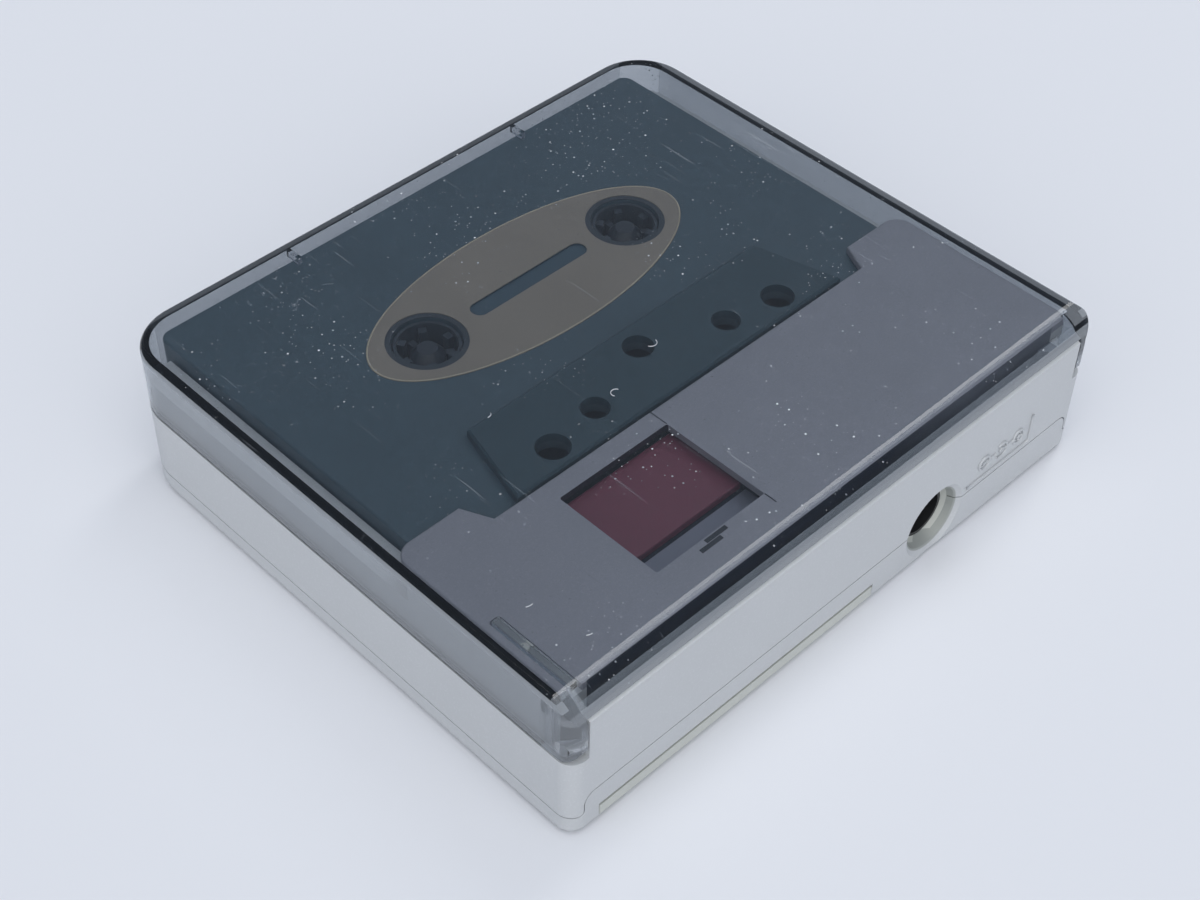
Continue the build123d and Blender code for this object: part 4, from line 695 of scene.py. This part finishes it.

# Cassette: rings of painted shade round the hub holes, the raised middle, and its finishes
# Painted shade: the shell's top round each hub hole is painted as dark as the hole's shaded inside
RINGS = tuple(RoundPatch(2, (x * MM, y * MM), 0.0078, (0.0240, 0.0245), seen(50, 58, 66)) for x, y in HUBS)
BULGE = Patch((-0.05, -0.05, 0.0243), (0.05, 0.05, 0.027), seen(48, 68, 78))
TAPE_BROWN = seen(62, 44, 38)
SHELL = Moulded("cassette_shell_plastic", seen(63, 82, 93), roughness=0.45, grain=0.00045,
                grain_depth=0.00002, gloss=0.4, patches=(BULGE, *RINGS))
PAPER = Moulded("gold_label", seen(142, 134, 124), roughness=0.45, grain_depth=0.000004, uneven=0.05,
                gloss=0.4, metal=0.3)
BORDER = Moulded("label_border", seen(184, 174, 154), roughness=0.4, grain_depth=0.000001, uneven=0.05,
                 gloss=0.4, metal=0.3)
WINDOW = Moulded("window_plastic", seen(60, 79, 91), roughness=0.1, grain=0.002, grain_depth=0.000001,
                 uneven=0.02, gloss=0.6)
HUB = Moulded("hub_plastic", seen(46, 54, 62), roughness=0.3, grain_depth=0.000004)
TAPE_FILM = Moulded("tape_film", TAPE_BROWN, roughness=0.25, grain=0.002, grain_depth=0.000001)
LEFT_TAPE, RIGHT_TAPE = (WoundTape(f"wound_tape_{side}", TAPE_BROWN, (x * MM, y * MM))
                         for side, (x, y) in zip(("left", "right"), HUBS))
FELT = Moulded("felt", seen(150, 140, 120), roughness=0.95, grain=0.0003, grain_depth=0.00008, uneven=0.1)

# Works, small parts and marks
SPINDLE = Moulded("spindle_plastic", seen(40, 46, 54), roughness=0.35, grain_depth=0.000004)
RED = Moulded("erase_plate_plastic", seen(108, 53, 70), roughness=0.4, uneven=0.05)
BLACK = Moulded("black_plastic", seen(34, 35, 37), roughness=0.4)
WHITE = Moulded("gear_plastic", seen(232, 231, 224), roughness=0.35)
RUBBER = Moulded("black_rubber", seen(30, 30, 31), roughness=0.8, grain=0.0003, grain_depth=0.00002)
CELL = Moulded("cell_wrap", seen(70, 72, 78), roughness=0.3, grain=0.001, grain_depth=0.000002, uneven=0.03,
               metal=0.2)
STEEL = Metal("plated_steel", seen(196, 196, 196))
BRASS = Metal("brass", seen(206, 172, 104), 0.28)
MAGNET = Metal("magnet", seen(92, 92, 96), 0.45)
BOARD = Moulded("board_laminate", seen(158, 120, 62))
INK = Moulded("dark_ink", seen(36, 40, 48), grain_depth=0.000001)
LINT = Moulded("lint", seen(214, 216, 222), roughness=0.9)


@dataclass
class Dresser:
    """Gives CAD nodes and new pieces their finishes, making each finish once.

    Attributes:
        nodes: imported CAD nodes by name.
        made: materials that were made already, by name.
    """

    nodes: dict[str, bpy.types.Object]
    made: dict[str, bpy.types.Material] = field(default_factory=dict)

    def material(self, finish: Finish) -> bpy.types.Material:
        """Make a finish's material, or return the one that was made before.

        Args:
            finish: the finish.

        Returns:
            Its material.
        """
        if finish.name not in self.made:
            self.made[finish.name] = finish.build()
        return self.made[finish.name]

    def dress(self, finish: Finish, *names: str) -> None:
        """Give CAD nodes a finish.

        Args:
            finish: the finish.
            names: names of the nodes.
        """
        for name in names:
            mesh = self.nodes[name].data
            mesh.materials.clear()
            mesh.materials.append(self.material(finish))
            LOG.info("dressed %s in %s", name, finish.name)

    def piece(self, name: str, points: np.ndarray, faces: np.ndarray, finish: Finish,
              body: Body, smooth: bool = True) -> None:
        """Put a finished mesh on a body.

        Args:
            name: name of the new object.
            points: corner places in metres, one row each.
            faces: corner numbers of each four-sided face, one row each.
            finish: its finish.
            body: body that it rides on.
            smooth: whether its faces are shaded smooth.
        """
        mesh = bpy.data.meshes.new(name)
        mesh.from_pydata(points.tolist(), [], faces.tolist())
        mesh.polygons.foreach_set("use_smooth", np.full(len(mesh.polygons), smooth))
        mesh.materials.append(self.material(finish))
        mesh.update()
        new = bpy.data.objects.new(name, mesh)
        bpy.context.scene.collection.objects.link(new)
        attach(new, body.value)
        LOG.info("made %s with %d faces", name, len(mesh.polygons))


def closed_tube_faces(rings: int, around: int) -> np.ndarray:
    """Number the faces of a tube that meets its own start.

    Face (i, j) joins ring i to the next ring and corner j to the next corner, both counted round.

    Args:
        rings: number of rings along the tube.
        around: number of corners in each ring.

    Returns:
        One row of four corner numbers per face.
    """
    ring, corner = np.meshgrid(np.arange(rings), np.arange(around), indexing="ij")
    next_ring = (ring + 1) % rings
    after = (corner + 1) % around
    return np.stack([ring * around + corner, ring * around + after,
                     next_ring * around + after, next_ring * around + corner], axis=-1).reshape(-1, 4)


def rounded_bar(path: np.ndarray, half: float, rise: float, sunk: float,
                closed: bool) -> tuple[np.ndarray, np.ndarray]:
    """Work out a low raised line on a flat face.

    Ring i stands across the path at its point i: the sideways direction lies in the face, square to the
    path's own direction, and the profile is a low arch with its feet sunk into the face. The arch's
    shoulders lie 0.8 of its half width to the side and 0.7 of its height up.

    Args:
        path: the line's middle as two coordinates in the face, in millimetres, one row per point.
        half: half the line's width, in millimetres.
        rise: height of the arch above the face, in millimetres.
        sunk: depth of its feet below the face, in millimetres.
        closed: whether the line meets its own start.

    Returns:
        Points in millimetres as first coordinate, height above the face and second coordinate, and the
        faces' corner numbers.
    """
    if closed:
        ahead = np.roll(path, -1, axis=0) - np.roll(path, 1, axis=0)
    else:
        ahead = np.gradient(path, axis=0)
    ahead /= np.linalg.norm(ahead, axis=1, keepdims=True)
    side = np.stack([-ahead[:, 1], ahead[:, 0]], axis=1)
    across = np.array([-1.0, -0.8, 0.0, 0.8, 1.0, 0.0]) * half
    out = np.array([-sunk, rise * 0.7, rise, rise * 0.7, -sunk, -sunk])
    flat = path[:, None, :] + side[:, None, :] * across[None, :, None]
    height = np.broadcast_to(out[None, :], flat.shape[:2])
    points = np.stack([flat[..., 0], height, flat[..., 1]], axis=-1).reshape(-1, 3)
    faces = closed_tube_faces(len(path), len(across))
    if not closed:
        faces = faces[: (len(path) - 1) * len(across)]
        first = np.array([[0, 1, 2, 5], [2, 3, 4, 5]])
        last = (len(path) - 1) * len(across) + first[:, ::-1]
        faces = np.concatenate([faces, first, last])
    return points, faces


def arc(middle: tuple[float, float], radius: float, start: float = 0.0, turn: float = 360.0,
        steps: int = 48, thin: float = 1.0) -> np.ndarray:
    """Work out an arc: its middle plus the radius times the cosine and sine of each angle.

    Args:
        middle: its middle as two coordinates.
        radius: its radius at the start.
        start: first angle in degrees.
        turn: angle that it covers, in degrees; 360 leaves out the repeated last point.
        steps: number of points.
        thin: share of the radius that is left at its end.

    Returns:
        One row of two coordinates per point, in the radius's unit.
    """
    angle = np.radians(start + turn * np.linspace(0.0, 1.0, steps, endpoint=turn < 360.0))
    reach = radius * np.linspace(1.0, thin, steps)
    return np.stack([middle[0] + reach * np.cos(angle), middle[1] + reach * np.sin(angle)], axis=1)


@dataclass
class RaisedMarks:
    """Low raised marks beside the jack: a corner line and the plug's polarity symbol.

    Lengths are in millimetres.

    Attributes:
        face: y of the back face.
        half: half the width of a raised line.
        rise: height of a raised line.
        sunk: depth of its feet in the face.
        corner: x and z of the corner line's points.
        symbol: x and z of the symbol's middle.
        reach: distance from the symbol's middle to its plus and minus rings.
        ring: radius of the plus and minus rings.
        arm: half the length of the plus and minus bars.
        sleeve: radius of the open arc in the middle.
        pin: radius of the small ring in the middle.
    """

    face: float = 49.65
    half: float = 0.22
    rise: float = 0.34
    sunk: float = 0.08
    corner: tuple[tuple[float, float], ...] = ((-27.6, 9.3), (-43.0, 9.3), (-43.0, 14.9))
    symbol: tuple[float, float] = (-35.6, 12.3)
    reach: float = 4.2
    ring: float = 1.25
    arm: float = 0.6875
    sleeve: float = 1.375
    pin: float = 0.35

    def straight(self, x0: float, z0: float, x1: float, z1: float, steps: int = 6) -> np.ndarray:
        """Return evenly spaced points between two ends."""
        share = np.linspace(0.0, 1.0, steps)[:, None]
        return (1.0 - share) * np.array([[x0, z0]]) + share * np.array([[x1, z1]])

    def lines(self) -> list[tuple[str, np.ndarray, bool]]:
        """List every raised line.

        Returns:
            Each line's name, its points and whether it is closed.
        """
        x, z = self.symbol
        plus, minus = x - self.reach, x + self.reach
        (x0, z0), (x1, z1), (x2, z2) = self.corner
        return [
            ("corner_line_long", self.straight(x0, z0, x1, z1, steps=12), False),
            ("corner_line_short", self.straight(x2, z1, x2, z2, steps=8), False),
            ("plus_ring", arc((plus, z), self.ring), True),
            ("minus_ring", arc((minus, z), self.ring), True),
            ("plus_bar", self.straight(plus - self.arm, z, plus + self.arm, z), False),
            ("plus_stem", self.straight(plus, z - self.arm, plus, z + self.arm), False),
            ("minus_bar", self.straight(minus - self.arm, z, minus + self.arm, z), False),
            ("sleeve_arc", arc((x, z), self.sleeve, start=50.0, turn=260.0), False),
            ("pin_dot", arc((x, z), self.pin, steps=20), True),
            ("plus_lead", self.straight(plus + self.ring, z, x - self.pin, z), False),
            ("minus_lead", self.straight(x + self.sleeve, z, minus - self.ring, z), False),
        ]

    def build(self, dresser: Dresser) -> None:
        """Make every raised line on the case's back face.

        Args:
            dresser: gives them their finish and body.
        """
        for name, path, closed in self.lines():
            points, faces = rounded_bar(path, self.half, self.rise, self.sunk, closed)
            points = (points + np.array([0.0, self.face, 0.0])) * MM
            dresser.piece(name, points, faces, SILVER, Body.BASE)


@dataclass
class PrintedMarks:
    """Two bars printed on the deck by the erase window.

    Lengths are in millimetres.

    Attributes:
        deck_top: height of the deck's face.
        ink: how far a bar reaches above and below that face.
        bars: the two bars as low x, high x, low y and high y.
    """

    deck_top: float = 25.6
    ink: float = 0.02
    bars: tuple[tuple[float, float, float, float], ...] = (
        (16.9, 21.1, 39.45, 40.2),
        (18.7, 22.9, 40.3, 41.05),
    )

    def slab(self, low: Point, high: Point) -> tuple[np.ndarray, np.ndarray]:
        """Work out a flat box: its eight corners are the low and high values taken in every order.

        Args:
            low: lowest corner, in millimetres.
            high: highest corner, in millimetres.

        Returns:
            Corner places in metres, and the six faces' corner numbers.
        """
        ends = np.array([low, high]) * MM
        pick = np.array([[0, 0, 0], [1, 0, 0], [1, 1, 0], [0, 1, 0],
                         [0, 0, 1], [1, 0, 1], [1, 1, 1], [0, 1, 1]])
        points = ends[pick, np.arange(3)]
        faces = np.array([[0, 3, 2, 1], [4, 5, 6, 7], [0, 1, 5, 4],
                          [1, 2, 6, 5], [2, 3, 7, 6], [3, 0, 4, 7]])
        return points, faces

    def build(self, dresser: Dresser) -> None:
        """Make the two bars.

        Args:
            dresser: gives them their finish and body.
        """
        for number, (x0, x1, y0, y1) in enumerate(self.bars):
            points, faces = self.slab((x0, y0, self.deck_top - self.ink), (x1, y1, self.deck_top + self.ink))
            dresser.piece(f"window_bar_{number + 1}", points, faces, INK, Body.BASE, False)


@dataclass
class Lint:
    """Short curled fibres that lie on the lid.

    Lengths are in millimetres.

    Attributes:
        top: height of the lid's top.
        half: half a fibre's thickness.
        sunk: depth of its underside in the lid's top.
        steps: number of points along a fibre.
        thin: share of the radius that is left at a fibre's end.
        fibres: each fibre's middle x, middle y and radius, and its first angle and turn in degrees.
    """

    top: float = 27.6
    half: float = 0.055
    sunk: float = 0.01
    steps: int = 28
    thin: float = 0.7
    fibres: tuple[tuple[float, float, float, float, float], ...] = (
        (-1.6, 6.9, 1.1, 20.0, 150.0),
        (10.2, 11.2, 0.9, 200.0, 190.0),
        (26.8, 1.3, 0.9, 60.0, 80.0),
        (46.0, 31.2, 2.0, 30.0, 30.0),
        (43.6, 40.6, 1.8, 20.0, 26.0),
    )

    def build(self, dresser: Dresser) -> None:
        """Make every fibre: a raised line along an arc whose radius shrinks on the way.

        Args:
            dresser: gives them their finish and body.
        """
        for number, (x, y, radius, start, turn) in enumerate(self.fibres):
            path = arc((x, y), radius, start, turn, self.steps, self.thin)
            points, faces = rounded_bar(path, self.half, 2.0 * self.half, self.sunk, False)
            points = (points[:, [0, 2, 1]] + np.array([0.0, 0.0, self.top])) * MM
            dresser.piece(f"lint_{number + 1}", points, faces[:, ::-1], LINT, Body.LID)


Looks = tuple[tuple[Finish, tuple[str, ...]], ...]


@dataclass
class SubAssembly:
    """CAD nodes that belong together.

    Attributes:
        looks: each finish with the names of the nodes that wear it.
    """

    looks: Looks

    def build(self, dresser: Dresser) -> None:
        """Dress every node.

        Args:
            dresser: gives the nodes their finishes.
        """
        for finish, names in self.looks:
            dresser.dress(finish, *names)


@dataclass
class CaseShells(SubAssembly):
    """The silver case halves with the deck, the battery door, the feet, screws and hinge pins."""

    looks: Looks = (
        (SILVER, ("upper_case", "lower_case")),
        (DECK, ("deck_panel",)),
        (IVORY, ("battery_door", "jack_shroud")),
        (RUBBER, ("door_foot", "rubber_feet")),
        (STEEL, ("case_screws", "hinge_pins")),
    )


@dataclass
class Lid(SubAssembly):
    """The smoked clear lid."""

    looks: Looks = ((SMOKE, ("lid",)),)


@dataclass
class LoadedCassette(SubAssembly):
    """The compact cassette under the lid.

    Lengths are in millimetres.

    Attributes:
        looks: each finish with the names of the nodes that wear it.
        label_middle: x and y of the label's middle.
        label_reach: half the label's length and half its width.
        label_face: height of the label's face.
        border: how far the printed edge's two sides lie inside the label's edge.
        border_rise: height of the printed edge over the label.
        border_sunk: depth of its feet in the label.
        border_steps: number of points round the label.
    """

    looks: Looks = (
        (SHELL, ("cassette_shell_upper", "cassette_shell_lower")),
        (PAPER, ("cassette_label",)),
        (WINDOW, ("cassette_window",)),
        (HUB, ("cassette_hub_left", "cassette_hub_right", "cassette_rollers")),
        (FELT, ("pressure_pad",)),
        (STEEL, ("cassette_screws",)),
        (LEFT_TAPE, ("tape_pack_left",)),
        (RIGHT_TAPE, ("tape_pack_right",)),
        (TAPE_FILM, ("tape_run",)),
    )
    label_middle: tuple[float, float] = (-0.3, -18.7)
    label_reach: tuple[float, float] = (31.5, 13.1)
    label_face: float = 24.22
    border: tuple[float, float] = (0.05, 0.3)
    border_rise: float = 0.03
    border_sunk: float = 0.02
    border_steps: int = 240

    def printed_edge(self) -> tuple[np.ndarray, np.ndarray]:
        """Work out the label's printed edge: a low ridge along the label's ellipse.

        Point (t, s) lies on the ellipse at angle t, moved inwards by the profile's first value at s and
        up by its second, where the profile runs up its outer side and down its inner one.

        Returns:
            Corner places in metres, and the faces' corner numbers.
        """
        turn = np.linspace(0.0, 2.0 * np.pi, self.border_steps, endpoint=False)
        inward = np.repeat(self.border, 2)
        rise = np.array([-self.border_sunk, self.border_rise, self.border_rise, -self.border_sunk])
        x = self.label_middle[0] + np.cos(turn)[:, None] * (self.label_reach[0] - inward[None, :])
        y = self.label_middle[1] + np.sin(turn)[:, None] * (self.label_reach[1] - inward[None, :])
        z = np.broadcast_to(self.label_face + rise[None, :], x.shape)
        points = np.stack([x, y, z], axis=-1).reshape(-1, 3) * MM
        return points, closed_tube_faces(self.border_steps, len(rise))

    def build(self, dresser: Dresser) -> None:
        """Dress the cassette and lay the printed edge on its label.

        Args:
            dresser: gives the nodes and the new piece their finishes.
        """
        super().build(dresser)
        points, faces = self.printed_edge()
        dresser.piece("label_border", points, faces, BORDER, Body.BASE)


@dataclass
class Works(SubAssembly):
    """Everything inside the case: drive, erase plate, cells, jack and board."""

    looks: Looks = (
        (RED, ("erase_slider",)),
        (SPINDLE, ("take_up_spindle", "supply_spindle")),
        (WHITE, ("belt_pulley", "idler_gear", "drive_gear", "switch_plunger", "magnet_arm")),
        (BLACK, ("battery_cradle", "dc_jack", "lid_switch", "board_parts", "motor_cap")),
        (STEEL, ("battery_contacts", "chassis_plate", "chassis_screws", "gear_axles", "axle_clips",
                 "arm_pivot", "motor_can")),
        (BRASS, ("spindle_bushes", "motor_pulley")),
        (CELL, ("battery_cells",)),
        (BOARD, ("circuit_board",)),
        (MAGNET, ("erase_magnet",)),
        (FELT, ("brake_felt",)),
        (RUBBER, ("drive_belt",)),
    )


@dataclass(frozen=True)
class Lamp:
    """A soft oblong lamp that points at the object.

    Attributes:
        name: name of the lamp.
        place: its place in metres.
        width: its width in metres.
        length: its length in metres, square to its width.
        power: its power in watts.
    """

    name: str
    place: Point
    width: float
    length: float
    power: float

    def build(self) -> None:
        """Make the lamp."""
        data = bpy.data.lights.new(self.name, "AREA")
        data.shape = "RECTANGLE"
        data.size = self.width
        data.size_y = self.length
        data.energy = self.power
        lamp = bpy.data.objects.new(self.name, data)
        lamp.location = self.place
        lamp.rotation_mode = "QUATERNION"
        lamp.rotation_quaternion = (-Vector(self.place)).to_track_quat("-Z", "Y")
        bpy.context.scene.collection.objects.link(lamp)


@dataclass
class Studio:
    """Pale floor, soft light and the camera at the photograph's angle.

    Attributes:
        floor_colour: colour of the floor as it shows.
        floor_reach: distance from its middle to its edges, in metres.
        eye: camera's place, in metres.
        forward: direction that it looks along.
        right: direction to the right of the frame.
        lens: focal length in millimetres.
        sensor: width of the sensor in millimetres.
        sight: nearest and farthest distance that the camera sees, in metres.
        bright_side: direction of the surrounding's brighter side.
        turn: cosines of the angles to that side at which it starts to brighten and is wholly bright.
        bright: its brightness there.
        dim: its brightness elsewhere.
        lamps: the lamps.
    """

    floor_colour: Colour = seen(228, 230, 235)
    floor_reach: float = 6.0
    eye: Point = (0.16579, 0.16245, 0.23396)
    forward: Point = (-0.50072, -0.49639, -0.70914)
    right: Point = (-0.71475, 0.69921, 0.01523)
    lens: float = 61.21
    sensor: float = 36.0
    sight: tuple[float, float] = (0.01, 20.0)
    bright_side: Point = (0.64, 0.67, 0.36)
    turn: tuple[float, float] = (0.35, 0.75)
    bright: Colour = (1.28, 1.29, 1.31)
    dim: Colour = (0.26, 0.30, 0.37)
    lamps: tuple[Lamp, ...] = (
        Lamp("softbox", (0.2, 0.25, 1.8), 2.0, 2.0, 11.0),
        Lamp("edge_light", (-1.12, -0.26, 1.64), 0.35, 1.0, 4.5),
    )

    def camera(self) -> None:
        """Make the camera from its place and two directions."""
        data = bpy.data.cameras.new("camera")
        data.sensor_width = self.sensor
        data.lens = self.lens
        data.clip_start, data.clip_end = self.sight
        camera = bpy.data.objects.new("camera", data)
        back = -Vector(self.forward).normalized()
        side = Vector(self.right).normalized()
        up = back.cross(side).normalized()
        turn = Matrix((side, up, back)).transposed()
        camera.matrix_world = Matrix.Translation(Vector(self.eye)) @ turn.to_4x4()
        bpy.context.scene.collection.objects.link(camera)
        bpy.context.scene.camera = camera

    def floor(self) -> None:
        """Make the floor: one wide square whose colour shows plainly and takes the object's shadow."""
        board = ShaderBoard("floor")
        matt = board.add("ShaderNodeBsdfDiffuse", Color=(*self.floor_colour, 1.0))
        mesh = bpy.data.meshes.new("floor")
        corners = np.array([[-1.0, -1.0, 0.0], [1.0, -1.0, 0.0], [1.0, 1.0, 0.0], [-1.0, 1.0, 0.0]])
        mesh.from_pydata((corners * self.floor_reach).tolist(), [], [(0, 1, 2, 3)])
        mesh.materials.append(board.finish(matt.outputs["BSDF"]))
        floor = bpy.data.objects.new("floor", mesh)
        bpy.context.scene.collection.objects.link(floor)

    def world(self) -> None:
        """Make a surrounding that is pale on the camera's side and darkens softly away from it."""
        world = bpy.data.worlds.new("world")
        world.use_nodes = True
        tree = world.node_tree
        direction = tree.nodes.new("ShaderNodeTexCoord")
        facing = tree.nodes.new("ShaderNodeVectorMath")
        facing.operation = "DOT_PRODUCT"
        facing.inputs[1].default_value = self.bright_side
        tree.links.new(direction.outputs["Generated"], facing.inputs[0])
        share = tree.nodes.new("ShaderNodeMapRange")
        share.inputs["From Min"].default_value, share.inputs["From Max"].default_value = self.turn
        tree.links.new(facing.outputs["Value"], share.inputs["Value"])
        mixed = tree.nodes.new("ShaderNodeMix")
        mixed.data_type = "RGBA"
        mixed.inputs[6].default_value = (*self.dim, 1.0)
        mixed.inputs[7].default_value = (*self.bright, 1.0)
        tree.links.new(share.outputs["Result"], mixed.inputs["Factor"])
        tree.links.new(mixed.outputs[2], tree.nodes["Background"].inputs["Color"])
        bpy.context.scene.world = world

    def build(self) -> None:
        """Make camera, floor, surrounding and lamps."""
        self.camera()
        self.floor()
        self.world()
        for lamp in self.lamps:
            lamp.build()
        bpy.context.scene.view_settings.view_transform = "Standard"


def main() -> None:
    """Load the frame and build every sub-assembly in order."""
    logging.basicConfig(level=logging.INFO, format="%(name)s: %(message)s")
    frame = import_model()
    dresser = Dresser(frame["nodes"])
    for part in (CaseShells(), Lid(), LoadedCassette(), Works(), PrintedMarks(), RaisedMarks(), Lint()):
        part.build(dresser)
    Studio().build()
    LOG.info("finished with %d finishes", len(dresser.made))


if __name__ == "__main__":
    main()
